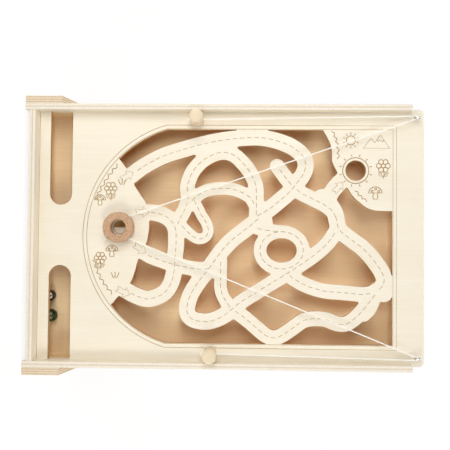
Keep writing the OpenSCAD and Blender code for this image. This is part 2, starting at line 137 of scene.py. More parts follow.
class Nodes:
    """A short way to write a node material around one Principled shader."""

    # Socket numbers of a Mix node for colours
    MIX_SHARE, MIX_FIRST, MIX_SECOND, MIX_RESULT = 0, 6, 7, 2

    def __init__(self, name: str) -> None:
        """Makes the material and keeps its tree and shader.

        Args:
            name: Name of the material.
        """
        self.material = bpy.data.materials.new(name)
        self.material.use_nodes = True
        self.tree = self.material.node_tree
        self.shader = self.tree.nodes["Principled BSDF"]

    def add(self, kind: str, inputs: dict | None = None, **settings: object) -> bpy.types.Node:
        """Adds a node, sets it up and links or fills its inputs.

        Args:
            kind: Blender's type name of the node, without its prefix.
            inputs: Socket name or number to a value or to another node's output.
            **settings: Attributes of the node.

        Returns:
            The new node.
        """
        node = self.tree.nodes.new("ShaderNode" + kind)
        for key, value in settings.items():
            setattr(node, key, value)
        for key, value in (inputs or {}).items():
            self.feed(node, key, value)
        return node

    def feed(self, node: bpy.types.Node, key: str | int, value: object) -> None:
        """Links an output to an input, or sets the input's value.

        Args:
            node: The node that is fed.
            key: Name or number of its input.
            value: An output socket, or a plain value.
        """
        socket = node.inputs[key]
        if isinstance(value, bpy.types.NodeSocket):
            self.tree.links.new(value, socket)
        else:
            socket.default_value = value

    def place(self) -> bpy.types.NodeSocket:
        """Object coordinates of the shaded point."""
        return self.add("TexCoord").outputs["Object"]

    def along(self, axis: Vector) -> bpy.types.NodeSocket:
        """Distance of the shaded point along an axis, in metres."""
        inputs = {0: self.place(), 1: tuple(axis)}
        return self.add("VectorMath", inputs, operation="DOT_PRODUCT").outputs["Value"]

    def math(self, operation: str, a: object, b: object = 0.0, clamp: bool = False) -> bpy.types.NodeSocket:
        """Result of a math node."""
        return self.add("Math", {0: a, 1: b}, operation=operation, use_clamp=clamp).outputs[0]

    def noise(
        self, vector: object, scale: float, detail: float, rough: float = 0.55
    ) -> bpy.types.NodeSocket:
        """Grey noise at a vector."""
        inputs = {"Vector": vector, "Scale": scale, "Detail": detail, "Roughness": rough}
        return self.add("TexNoise", inputs).outputs["Fac"]

    def streaks(self, axes: tuple[Vector, ...], scales: Spot, detail: float) -> bpy.types.NodeSocket:
        """Makes noise that is drawn out along one of three axes.

        Args:
            axes: The axes.
            scales: Scale of the noise along each of them, per metre.
            detail: Detail of the noise.

        Returns:
            The noise.
        """
        parts = {i: self.math("MULTIPLY", self.along(axes[i]), scale) for i, scale in enumerate(scales)}
        return self.noise(self.add("CombineXYZ", parts).outputs[0], 1.0, detail)

    def ramp(self, value: object, low: float, high: float) -> bpy.types.NodeSocket:
        """Stretches a value so that low becomes 0 and high becomes 1."""
        inputs = {"Value": value, "From Min": low, "From Max": high}
        return self.add("MapRange", inputs, clamp=True).outputs["Result"]

    def blend(self, parts: list[tuple[object, float]]) -> bpy.types.NodeSocket:
        """Adds up weighted values and keeps the sum between 0 and 1.

        Args:
            parts: Each value with its weight.

        Returns:
            The sum.
        """
        total: object = 0.0
        for value, weight in parts:
            total = self.math("ADD", total, self.math("MULTIPLY", value, weight), True)
        return total

    def mix(self, share: object, a: object, b: object) -> bpy.types.NodeSocket:
        """Mixes two colours."""
        node = self.add("Mix", data_type="RGBA")
        for key, value in ((self.MIX_SHARE, share), (self.MIX_FIRST, a), (self.MIX_SECOND, b)):
            self.feed(node, key, (*value, 1.0) if isinstance(value, tuple) else value)
        return node.outputs[self.MIX_RESULT]

    def between(self, share: object, tones: Tones) -> bpy.types.NodeSocket:
        """Mixes the two tones of a surface."""
        return self.mix(share, tones.light, tones.dark)

    def paint(self, share: object, tones: Tones) -> None:
        """Feeds the shader's colour from two tones."""
        self.feed(self.shader, "Base Color", self.between(share, tones))

    def roughen(self, value: object, spread: float, least: float) -> None:
        """Feeds the shader's roughness.

        Args:
            value: Value from 0 to 1 that varies it.
            spread: How far a value of 1 raises it.
            least: Roughness where the value is 0.
        """
        self.feed(self.shader, "Roughness", self.math("ADD", self.math("MULTIPLY", value, spread), least))

    def bump(self, height: object, strength: float, depth: float) -> None:
        """Feeds the shader's normal from a height.

        Args:
            height: Height from 0 to 1.
            strength: Strength of the bump.
            depth: Height of 1 in metres.
        """
        node = self.add("Bump", {"Height": height, "Strength": strength, "Distance": depth})
        self.feed(self.shader, "Normal", node.outputs["Normal"])


@dataclass(frozen=True)
class Inside:
    """Painted shade inside the case: a box in the panel's frame in millimetres whose faces get darker,
    warmer tones that stand in for the shade there.
    """

    half: float = 127.8
    low: float = 12.0
    high: float = 391.8
    front: float = -4.9
    rear: float = -25.2

    def mask(self, n: Nodes) -> bpy.types.NodeSocket:
        """Makes a value that is 1 on faces inside the case, which get the painted shade.

        Args:
            n: The material that asks for it.

        Returns:
            The value.
        """
        rest = PANEL.at(0.0, 0.0)
        across = n.math("ABSOLUTE", n.along(ACROSS))
        up = n.math("SUBTRACT", n.along(PANEL.up), PANEL.up.dot(rest))
        out = n.math("SUBTRACT", n.along(PANEL.out), PANEL.out.dot(rest))
        share = n.math("LESS_THAN", across, self.half * MM)
        for value, low, high in ((up, self.low, self.high), (out, self.rear, self.front)):
            share = n.math("MULTIPLY", share, n.math("GREATER_THAN", value, low * MM))
            share = n.math("MULTIPLY", share, n.math("LESS_THAN", value, high * MM))
        return share


# Painted shade: darker, warmer tones for the faces inside the case, where shade falls
INNER_SHADE = Tones((0.95, 0.76, 0.475), (0.86, 0.625, 0.345))


@dataclass(frozen=True)
class Plywood:
    """Plywood or solid wood with a face, a grain and layered edges.

    The plies start at first, measured along the face's direction, and a light and a dark ply together
    are pair thick, both in millimetres. Scales are per metre, along the grain, across it and through
    the board.
    """

    name: str
    faces: Tones
    edges: Tones
    face: Vector
    grain: Vector
    first: float = 0.0
    pair: float = 2.0
    dark_share: float = 0.5
    layered: bool = True
    # Faces inside the case get these tones as painted shade
    inner_shade: Tones = INNER_SHADE
    roughness: float = 0.44
    gloss: float = 0.12
    fine_scales: Spot = (26.0, 900.0, 900.0)
    broad_scales: Spot = (5.0, 55.0, 30.0)
    fleck_scales: Spot = (170.0, 2600.0, 2600.0)
    end_scales: Spot = (700.0, 700.0, 700.0)
    seam_blur: float = 0.04
    glue_width: float = 0.06

    def material(self) -> bpy.types.Material:
        """Makes the wood.

        Returns:
            The material.
        """
        n = Nodes(self.name)
        axes = (self.grain, self.face.cross(self.grain), self.face)
        fine = n.streaks(axes, self.fine_scales, detail=4.0)
        broad = n.streaks(axes, self.broad_scales, detail=2.0)
        fleck = n.streaks(axes, self.fleck_scales, detail=1.0)
        figure = n.blend([(n.ramp(fine, low=0.35, high=0.75), 0.45), (n.ramp(broad, low=0.3, high=0.7), 0.4),
                          (n.ramp(fleck, low=0.62, high=0.8), 0.25)])
        across = self.face if self.layered else self.grain
        turned = {0: n.add("NewGeometry").outputs["Normal"], 1: tuple(across)}
        facing = n.math("ABSOLUTE", n.add("VectorMath", turned, operation="DOT_PRODUCT").outputs["Value"])
        ends = (0.55, 0.8) if self.layered else (0.8, 0.55)
        on_face = n.ramp(facing, *ends)
        edge = n.between(self.plies(n, axes), self.edges)
        bare = n.mix(on_face, edge, n.between(figure, self.faces))
        # Inside the case the wood's tones give way to darker, warmer ones: painted shade
        shaded = n.between(figure, self.inner_shade)
        n.feed(n.shader, "Base Color", n.mix(Inside().mask(n), bare, shaded))
        n.roughen(fine, spread=0.16, least=self.roughness)
        n.feed(n.shader, "Specular IOR Level", self.gloss)
        n.bump(n.math("ADD", fine, n.math("MULTIPLY", fleck, 0.5)), strength=0.22, depth=0.00012)
        return n.material

    def plies(self, n: Nodes, axes: tuple[Vector, ...]) -> bpy.types.NodeSocket:
        """Shades the wood's edges.

        Args:
            n: The material.
            axes: Directions along the grain, across it and through the board.

        Returns:
            The share of the dark tone.
        """
        end = n.streaks(axes, self.end_scales, detail=3.0)
        if not self.layered:
            return n.ramp(end, low=0.3, high=0.75)
        depth = n.math("SUBTRACT", n.along(self.face), self.first * MM)
        step = n.math("FRACT", n.math("DIVIDE", depth, self.pair * MM))
        seam = 1.0 - self.dark_share
        dark = n.ramp(step, seam - self.seam_blur, seam + self.seam_blur)
        glue = n.ramp(n.math("ABSOLUTE", n.math("SUBTRACT", step, seam)), self.glue_width, 0.0)
        return n.blend([(dark, 0.55), (glue, 0.25), (n.ramp(end, low=0.35, high=0.8), 0.35)])


@dataclass(frozen=True)
class TurnedWood:
    """Waxed wood turned on a lathe, with pores and fine tool rings. Scales are per metre."""

    name: str
    tones: Tones
    axis: Vector
    grain: Vector
    pores: float = 0.2
    pore_scale: float = 1500.0
    gloss: float = 0.15
    fine_scales: Spot = (90.0, 1200.0, 1200.0)
    fleck_scales: Spot = (420.0, 2400.0, 2400.0)
    ring_scale: float = 9000.0

    def material(self) -> bpy.types.Material:
        """Makes the wood.

        Returns:
            The material.
        """
        n = Nodes(self.name)
        axes = (self.grain, self.axis.cross(self.grain), self.axis)
        fine = n.streaks(axes, self.fine_scales, detail=4.0)
        fleck = n.streaks(axes, self.fleck_scales, detail=1.0)
        pore = n.noise(n.place(), self.pore_scale, detail=2.0, rough=0.6)
        share = n.blend([(n.ramp(fine, low=0.3, high=0.72), 0.4), (n.ramp(fleck, low=0.58, high=0.75), 0.3),
                         (n.ramp(pore, low=0.5, high=0.62), self.pores)])
        n.paint(share, self.tones)
        n.roughen(fine, spread=0.2, least=0.34)
        n.feed(n.shader, "Specular IOR Level", self.gloss)
        rings = n.math("SINE", n.math("MULTIPLY", n.along(self.axis), self.ring_scale))
        n.bump(n.math("ADD", fine, n.math("MULTIPLY", rings, 0.08)), strength=0.2, depth=0.0001)
        return n.material


@dataclass(frozen=True)
class BurntLine:
    """Thin burnt drawing line, uneven in tone."""

    name: str
    tones: Tones
    gloss: float = 0.15

    def material(self) -> bpy.types.Material:
        """Makes the line's finish.

        Returns:
            The material.
        """
        n = Nodes(self.name)
        tone = n.noise(n.place(), scale=320.0, detail=3.0)
        share = n.ramp(tone, low=0.3, high=0.7)
        n.paint(share, self.tones)
        n.roughen(tone, spread=0.2, least=0.7)
        n.feed(n.shader, "Specular IOR Level", self.gloss)
        n.bump(tone, strength=0.2, depth=0.00005)
        return n.material


@dataclass(frozen=True)
class Cotton:
    """Twisted white string with a fuzzy surface."""

    name: str = "white_cotton"
    tones: Tones = Tones((1.0, 0.975, 0.91), (0.93, 0.895, 0.815))
    gloss: float = 0.1

    def material(self) -> bpy.types.Material:
        """Makes the string's finish.

        Returns:
            The material.
        """
        n = Nodes(self.name)
        fibre = n.noise(n.place(), scale=2600.0, detail=3.0, rough=0.7)
        share = n.ramp(fibre, low=0.35, high=0.75)
        n.paint(share, self.tones)
        n.roughen(fibre, spread=0.1, least=0.8)
        n.feed(n.shader, "Specular IOR Level", self.gloss)
        n.bump(fibre, strength=0.3, depth=0.00008)
        return n.material


@dataclass(frozen=True)
class Metal:
    """Bare or plated steel with fine marks."""

    name: str
    tones: Tones
    roughness: float
    marks: float = 900.0

    def material(self) -> bpy.types.Material:
        """Makes the metal.

        Returns:
            The material.
        """
        n = Nodes(self.name)
        marks = n.noise(n.place(), self.marks, detail=4.0, rough=0.65)
        share = n.ramp(marks, low=0.4, high=0.8)
        n.paint(share, self.tones)
        n.feed(n.shader, "Metallic", 1.0)
        n.roughen(marks, spread=0.1, least=self.roughness)
        n.bump(marks, strength=0.05, depth=0.00004)
        return n.material


@dataclass(frozen=True)
class BottleGlass:
    """Dark green glass with faint streaks."""

    name: str = "bottle_glass"
    tones: Tones = Tones((0.14, 0.25, 0.05), (0.04, 0.11, 0.025))
    bend: float = 1.52
    clear: float = 0.9
    streak_scales: Spot = (120.0, 420.0, 90.0)

    def material(self) -> bpy.types.Material:
        """Makes the glass.

        Returns:
            The material.
        """
        n = Nodes(self.name)
        axes = (ACROSS, PANEL.up, PANEL.out)
        streak = n.streaks(axes, self.streak_scales, detail=3.0)
        share = n.ramp(streak, low=0.7, high=0.35)
        n.paint(share, self.tones)
        n.roughen(streak, spread=0.06, least=0.0)
        n.feed(n.shader, "IOR", self.bend)
        n.feed(n.shader, "Transmission Weight", self.clear)
        return n.material


class Bench:
    """Hand tools: the few mesh steps that every piece goes through."""

    @staticmethod
    def clear() -> None:
        """Leaves edit mode and selects nothing."""
        if bpy.context.mode != "OBJECT":
            bpy.ops.object.mode_set(mode="OBJECT")
        bpy.ops.object.select_all(action="DESELECT")

    @classmethod
    def take(cls, obj: bpy.types.Object) -> None:
        """Makes one object the selected and active one."""
        cls.clear()
        obj.select_set(True)
        bpy.context.view_layer.objects.active = obj

    @classmethod
    def edit(cls, obj: bpy.types.Object) -> None:
        """Takes an object into edit mode with all of it selected."""
        cls.take(obj)
        bpy.ops.object.mode_set(mode="EDIT")
        bpy.ops.mesh.select_all(action="SELECT")

    @classmethod
    def settle(cls, obj: bpy.types.Object, matrix: Matrix) -> bpy.types.Object:
        """Puts an object in place and moves that place into its mesh.

        Args:
            obj: The object.
            matrix: Where it goes in the row frame.

        Returns:
            The same object, at the origin.
        """
        obj.matrix_world = matrix
        cls.take(obj)
        bpy.ops.object.transform_apply(location=True, rotation=True, scale=True)
        return obj

    @classmethod
    def apply_all(cls, obj: bpy.types.Object) -> None:
        """Applies every modifier of an object in order."""
        cls.take(obj)
        for name in [m.name for m in obj.modifiers]:
            bpy.ops.object.modifier_apply(modifier=name)

    @classmethod
    def tidy(cls, obj: bpy.types.Object, gap: float = 0.002) -> None:
        """Merges doubled points and turns all faces outwards.

        Args:
            obj: The mesh object.
            gap: Largest distance between points that are merged, in millimetres.
        """
        cls.edit(obj)
        bpy.ops.mesh.remove_doubles(threshold=gap * MM)
        bpy.ops.mesh.normals_make_consistent(inside=False)
        bpy.ops.object.mode_set(mode="OBJECT")

    @classmethod
    def smooth(cls, obj: bpy.types.Object, angle: float) -> None:
        """Shades an object smooth except at edges sharper than an angle in degrees."""
        cls.take(obj)
        bpy.ops.object.shade_smooth_by_angle(angle=math.radians(angle))

    @classmethod
    def join(cls, name: str, parts: list[bpy.types.Object]) -> bpy.types.Object:
        """Joins objects into the first one.

        Args:
            name: Name of the joined object.
            parts: The objects.

        Returns:
            The joined object.
        """
        cls.take(parts[0])
        for part in parts[1:]:
            part.select_set(True)
        if len(parts) > 1:
            bpy.ops.object.join()
        parts[0].name = parts[0].data.name = name
        return parts[0]

    @staticmethod
    def dress(obj: bpy.types.Object, material: bpy.types.Material) -> None:
        """Gives an object one material."""
        obj.data.materials.clear()
        obj.data.materials.append(material)

    @staticmethod
    def hang(obj: bpy.types.Object, node: str, body: str, slot: str) -> None:
        """Hides the solid that a piece stands in for and hangs the piece on the body that it rides on.

        Args:
            obj: The piece.
            node: The frame's node that it takes the place of.
            body: The body that carries it.
            slot: The record's material slot; not used.
        """
        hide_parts(node)
        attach(obj, body)
        LOG.info("%s in place of %s", obj.name, node)

    @classmethod
    def drill(cls, obj: bpy.types.Object, radius: float, half: float, spot: Spot, sides: int = 24) -> None:
        """Drills a hole along Y with a drill twice as long as the piece.

        Args:
            obj: The piece.
            radius: Radius of the hole in millimetres.
            half: Half the piece's length along the hole, in millimetres.
            spot: Middle of the hole in millimetres.
            sides: Number of sides of the drill.
        """
        cls.clear()
        quarter = (math.pi / 2, 0.0, 0.0)
        middle = Vector(spot) * MM
        bpy.ops.mesh.primitive_cylinder_add(
            vertices=sides, radius=radius * MM, depth=4 * half * MM, rotation=quarter, location=middle)
        bit = bpy.context.object
        cut = obj.modifiers.new("string_hole", "BOOLEAN")
        cut.object = bit
        cut.operation = "DIFFERENCE"
        cut.solver = "EXACT"
        cls.apply_all(obj)
        bpy.data.objects.remove(bit)

    @staticmethod
    def curve(name: str, radius: float) -> bpy.types.Object:
        """Starts an empty curve that is swept as a round tube.

        Args:
            name: Its name.
            radius: Radius of the tube in millimetres.

        Returns:
            The curve.
        """
        Bench.clear()
        bpy.ops.curve.primitive_bezier_curve_add()
        obj = bpy.context.object
        obj.name = obj.data.name = name
        obj.data.splines.clear()
        obj.data.dimensions = "3D"
        obj.data.bevel_depth = radius * MM
        obj.data.use_fill_caps = True
        return obj

    @staticmethod
    def run(obj: bpy.types.Object, spots: list[Spot], closed: bool) -> None:
        """Adds a line to a curve.

        Args:
            obj: The curve.
            spots: Points of the line in millimetres.
            closed: True for a loop.
        """
        spline = obj.data.splines.new("POLY")
        spline.points.add(len(spots) - 1)
        for point, spot in zip(spline.points, spots):
            point.co = (*(Vector(spot) * MM), 1.0)
        spline.use_cyclic_u = closed

    @classmethod
    def to_mesh(cls, obj: bpy.types.Object) -> bpy.types.Object:
        """Turns a curve into a mesh."""
        cls.take(obj)
        bpy.ops.object.convert(target="MESH")
        return bpy.context.object

    @classmethod
    def tube(cls, name: str, spots: list[Spot], radius: float, closed: bool = False) -> bpy.types.Object:
        """Makes a round tube along a line.

        Args:
            name: Its name.
            spots: Points of the line in millimetres.
            radius: The tube's radius in millimetres.
            closed: True for a loop.

        Returns:
            The tube as a mesh.
        """
        obj = cls.curve(name, radius)
        obj.data.bevel_resolution = 3
        cls.run(obj, spots, closed)
        obj = cls.to_mesh(obj)
        cls.tidy(obj, gap=0.0005)
        return obj

    @classmethod
    def eased_copy(cls, name: str, node: str, width: float) -> bpy.types.Object:
        """Copies a board of the frame and eases its long edges.

        Args:
            name: Name of the copy.
            node: The frame's node.
            width: Width of the eased edge in millimetres.

        Returns:
            The copy.
        """
        obj = bpy.data.objects.new(name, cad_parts[node].data.copy())
        bpy.context.scene.collection.objects.link(obj)
        cls.tidy(obj)
        cls.edit(obj)
        bpy.ops.mesh.dissolve_limited(angle_limit=math.radians(0.5))
        bpy.ops.object.mode_set(mode="OBJECT")
        cls.weigh_long_edges(obj)
        bevel = obj.modifiers.new("eased", "BEVEL")
        bevel.limit_method = "WEIGHT"
        bevel.width = width * MM
        bevel.segments = 2
        bevel.use_clamp_overlap = False
        cls.apply_all(obj)
        cls.smooth(obj, angle=30.0)
        flats = obj.modifiers.new("flats", "WEIGHTED_NORMAL")
        flats.keep_sharp = True
        flats.weight = 100
        cls.apply_all(obj)
        return obj

    @staticmethod
    def weigh_long_edges(obj: bpy.types.Object, shortest: float = 0.6, sharp: float = 40.0) -> None:
        """Marks the sharp edges of a board, but not those of its small holes, for the bevel.

        Args:
            obj: The board.
            shortest: Shortest edge that counts, in millimetres.
            sharp: Smallest angle between an edge's faces, in degrees.
        """
        mesh = obj.data
        weights = mesh.attributes.get("bevel_weight_edge")
        if weights is None:
            weights = mesh.attributes.new("bevel_weight_edge", "FLOAT", "EDGE")
        faces: dict[tuple[int, int], list[Vector]] = {}
        for polygon in mesh.polygons:
            for key in polygon.edge_keys:
                faces.setdefault(key, []).append(polygon.normal.copy())
        for edge in mesh.edges:
            a, b = (mesh.vertices[i].co for i in edge.vertices)
            sides = faces.get(tuple(sorted(edge.vertices)), [])
            turned = len(sides) == 2 and sides[0].angle(sides[1], 0.0) > math.radians(sharp)
            weights.data[edge.index].value = 1.0 if turned and (a - b).length > shortest * MM else 0.0


def smooth_line(points: Line, steps: int = 8) -> Line:
    """Draws a smooth curve through points.

    Args:
        points: The points.
        steps: Steps between two points.

    Returns:
        The points of the curve.
    """
    line: Line = []
    last = len(points) - 1
    for i in range(last):
        a, b, c, d = (Vector(points[k]) for k in (max(i - 1, 0), i, i + 1, min(i + 2, last)))
        for k in range(steps):
            t = k / steps
            bend = (2 * a - 5 * b + 4 * c - d) * t * t + (3 * b - a - 3 * c + d) * t ** 3
            line.append(tuple(0.5 * (2 * b + (c - a) * t + bend)))
    line.append(points[-1])
    return line


def cut_line(line: Line, start: float, stop: float) -> Line:
    """Cuts a stretch out of a line.

    Args:
        line: Points of the line.
        start: Where the stretch starts, along the line.
        stop: Where it stops.

    Returns:
        Points of the stretch.
    """
    out: Line = []
    gone = 0.0
    for a, b in zip(line, line[1:]):
        a, b = Vector(a), Vector(b)
        step = (b - a).length
        low, high = max(start, gone), min(stop, gone + step)
        if low < high:
            if not out:
                out.append(tuple(a.lerp(b, (low - gone) / step)))
            out.append(tuple(a.lerp(b, (high - gone) / step)))
        gone += step
    return out


def length_of(line: Line) -> float:
    """Length of a line."""
    return sum((Vector(b) - Vector(a)).length for a, b in zip(line, line[1:]))


def arc_line(centre: Point, radii: Point, start: float, stop: float, steps: int) -> Line:
    """Draws an arc of a circle or an ellipse.

    Args:
        centre: Its centre.
        radii: Its radii across and up.
        start: Angle of its first point, in degrees.
        stop: Angle of its last point.
        steps: Number of steps.

    Returns:
        The points.
    """
    angles = [math.radians(start + (stop - start) * i / steps) for i in range(steps + 1)]
    return [(centre[0] + radii[0] * math.cos(a), centre[1] + radii[1] * math.sin(a)) for a in angles]


def circle_line(centre: Point, radius: float, steps: int) -> Line:
    """Draws a closed circle in a number of steps."""
    return arc_line(centre, (radius, radius), 0.0, 360.0, steps)


@dataclass
class Boards:
    """The case: rails, tray floor, top rail, back panel and feet.

    Sizes are in millimetres, the floor's slope is in degrees, and rail_dark is the dark plies' share.
    """

    ease: float = 0.5
    foot_ease: float = 0.8
    rail_inner: float = 127.5
    rail_outer: float = 133.7
    foot_outer: float = 141.7
    floor_low: float = 4.4
    floor_slope: float = 8.5
    back_rear: float = -28.5
    rail_pair: float = 3.8
    rail_dark: float = 0.37
    foot_pair: float = 2.286
    back_pair: float = 2.333
    faces: Tones = Tones((0.90, 0.825, 0.69), (0.82, 0.71, 0.54))
    edges: Tones = Tones((0.89, 0.825, 0.71), (0.70, 0.575, 0.40))
    foot_edges: Tones = Tones((0.90, 0.78, 0.60), (0.52, 0.34, 0.19))
    back_faces: Tones = Tones((0.86, 0.60, 0.355), (0.76, 0.49, 0.265))

    def build(self) -> None:
        """Makes the eased boards and dresses them."""
        for side in Side:
            self.rail_and_foot(side)
        slope = Matrix.Rotation(math.radians(-self.floor_slope), 3, "X")
        floor_face = slope @ Vector((0.0, 0.0, 1.0))
        first = floor_face.dot(PANEL.at(0.0, self.floor_low, PANEL.lip)) / MM
        plies = (first, self.rail_pair, self.rail_dark)
        tray = Plywood("tray_ply", self.faces, self.edges, floor_face, ACROSS, *plies)
        self.board("tray_floor", "case_birch", tray, self.ease)
        top = Plywood("top_rail_wood", self.faces, self.edges, PANEL.out, ACROSS, layered=False)
        self.board("top_rail", "case_birch", top, self.ease)
        first = PANEL.out.dot(PANEL.at(0.0, 0.0, self.back_rear)) / MM
        back = Plywood("back_ply", self.back_faces, self.edges, PANEL.out, PANEL.up, first, self.back_pair)
        self.board("back_panel", "back_birch", back, self.ease)

    def rail_and_foot(self, side: Side) -> None:
        """Makes one side's rail and foot.

        Args:
            side: The side.
        """
        rail_first = self.rail_inner if side is Side.RIGHT else -self.rail_outer
        rail = Plywood(f"{side.word}_rail_ply", self.faces, self.edges, ACROSS, PANEL.up, rail_first,
                       self.rail_pair, self.rail_dark)
        self.board(f"{side.word}_rail", "case_birch", rail, self.ease)
        foot_first = self.rail_outer if side is Side.RIGHT else -self.foot_outer
        ahead = Vector((0.0, 1.0, 0.0))
        foot = Plywood(f"{side.word}_foot_ply", self.faces, self.foot_edges, ACROSS, ahead, foot_first,
                       self.foot_pair)
        self.board(f"{side.word}_foot", "foot_birch", foot, self.foot_ease)

    @staticmethod
    def board(node: str, slot: str, wood: Plywood, ease: float) -> None:
        """Makes, dresses and hangs one board.

        Args:
            node: The frame's node that it shows.
            slot: The record's material slot.
            wood: Its finish.
            ease: Width of its eased edges in millimetres.
        """
        obj = Bench.eased_copy(f"{node}_board", node, ease)
        Bench.dress(obj, wood.material())
        Bench.hang(obj, node, "root", slot)


@dataclass(frozen=True)
class Road:
    """A road's centre line, and the bare lengths before its first and after its last dash."""

    points: Line
    start: float
    stop: float


ROADS = (
    Road([(-54, 98), (-64, 110), (-72, 121), (-82, 140), (-88.6, 160), (-94.3, 180), (-98.8, 202),
          (-101, 222), (-101.4, 240), (-98, 257), (-92, 272), (-83, 283), (-74, 286), (-65, 284),
          (-56, 278), (-46, 270), (-37, 260), (-28, 249), (-21, 237)], 20.0, 0.0),
    Road([(-24, 108), (-24, 122), (-23, 134), (-18, 146), (-8, 153), (8, 154), (22, 153), (38, 152),
          (49, 149), (58, 143), (63, 134), (65, 125), (62, 114), (57, 104), (52, 96)], 20.0, 14.0),
    Road([(6, 106), (14, 116), (21, 127), (25, 138), (29, 150), (32, 164), (34, 178), (33, 192)], 24.0, 4.0),
    Road([(-34, 167), (-49, 165), (-58, 167), (-67, 171), (-77, 180), (-84, 192), (-86, 203), (-83, 213),
          (-76, 221), (-66, 229), (-53, 235), (-38, 236), (-22, 236)], 4.0, 0.0),
    Road([(-30, 165), (-41, 175), (-47, 186), (-49, 200), (-48, 212), (-44, 223), (-38, 231),
          (-26, 237)], 8.0, 8.0),
    Road([(-38, 171), (-29, 176), (-21, 180), (-13, 185), (-5, 187), (1, 184), (3, 178), (1, 172), (-4, 166),
          (-10, 160)], 2.0, 0.0),
    Road([(-8, 154), (-18, 158), (-28, 163), (-40, 167)], 4.0, 6.0),
    Road([(-18, 238), (-11, 230), (-4, 221), (5, 210), (15, 201), (26, 193), (36, 186), (46, 178), (57, 171),
          (67, 167), (77, 166), (84, 170), (87, 179), (87, 189), (83, 200), (76, 211)], 0.0, 4.0),
    Road([(83, 200), (76, 210), (67, 221), (58, 235), (48, 251), (38, 267), (28, 282), (18, 296), (6, 309),
          (-6, 317)], 12.0, 2.0),
    Road([(24, 200), (32, 200), (42, 200), (52, 200), (60, 202), (67, 206), (74, 211)], 2.0, 2.0),
    Road([(-50, 274), (-60, 266), (-72, 257)], 4.0, 4.0),
    Road([(-12, 228), (-8, 238), (-6, 250), (-5, 262)], 10.0, 4.0),
    Road([(-50, 276), (-45, 281), (-41, 289), (-37, 297), (-33, 305), (-27, 313), (-20, 317)], 2.0, 0.0),
    Road([(-25, 316), (-16, 318), (-7, 321), (2, 332), (10, 343), (19, 352), (28, 359), (36, 364), (44, 366),
          (51, 363), (56, 356)], 4.0, 6.0),
    Road([(56, 356), (58, 345), (57, 331), (56, 318), (55, 306), (52, 294), (48, 284), (43, 275), (37, 267)],
         4.0, 4.0),
    Road([(74, 212), (84, 226), (94, 238), (101, 247), (103, 256), (99, 265), (92, 275), (85, 285),
          (83, 297), (84, 308), (88, 318), (88, 328), (81, 338), (71, 347), (62, 354), (52, 362)], 4.0, 8.0),
    Road(arc_line((14.0, 262.0), (19.0, 22.0), 0.0, 360.0, 24), 0.0, 2.8),
)

# Outlines of the small drawings, at size 1
ARROW = [(0, 0), (-0.42, 0.36), (-0.42, 0.16), (-1, 0.2), (-0.86, 0), (-1, -0.2), (-0.42, -0.16),
         (-0.42, -0.36), (0, 0)]
PEAKS = [(-1, 0), (-0.42, 0.74), (-0.14, 0.4), (0.3, 1), (1, 0), (-1, 0)]
SNOW = [(0.04, 0.64), (0.16, 0.52), (0.28, 0.68), (0.42, 0.5), (0.58, 0.6)]
STEM = [(0, 0.46), (0.05, 0.24), (0, 0)]
LEAF = [(0.02, 0.1), (0.2, 0.16), (0.3, 0.34), (0.12, 0.28), (0.02, 0.1)]
STALK = [(-0.14, 0.48), (-0.19, 0.2), (-0.16, 0), (0.16, 0), (0.19, 0.2), (0.14, 0.48)]
CAP_DOTS = [(-0.25, 0.62), (0.02, 0.78), (0.26, 0.6)]
RAY = [(1.35, 0), (1.8, 0)]


def placed(shape: Line, spot: Point, size: float, turn: float = 0.0) -> Line:
    """Puts an outline on the panel.

    Args:
        shape: The outline, drawn at size 1 about its own origin.
        spot: Where its origin goes.
        size: Its size in millimetres.
        turn: Turn in degrees.

    Returns:
        The outline in place.
    """
    c, s = math.cos(math.radians(turn)), math.sin(math.radians(turn))
    return [(spot[0] + size * (x * c - y * s), spot[1] + size * (x * s + y * c)) for x, y in shape]


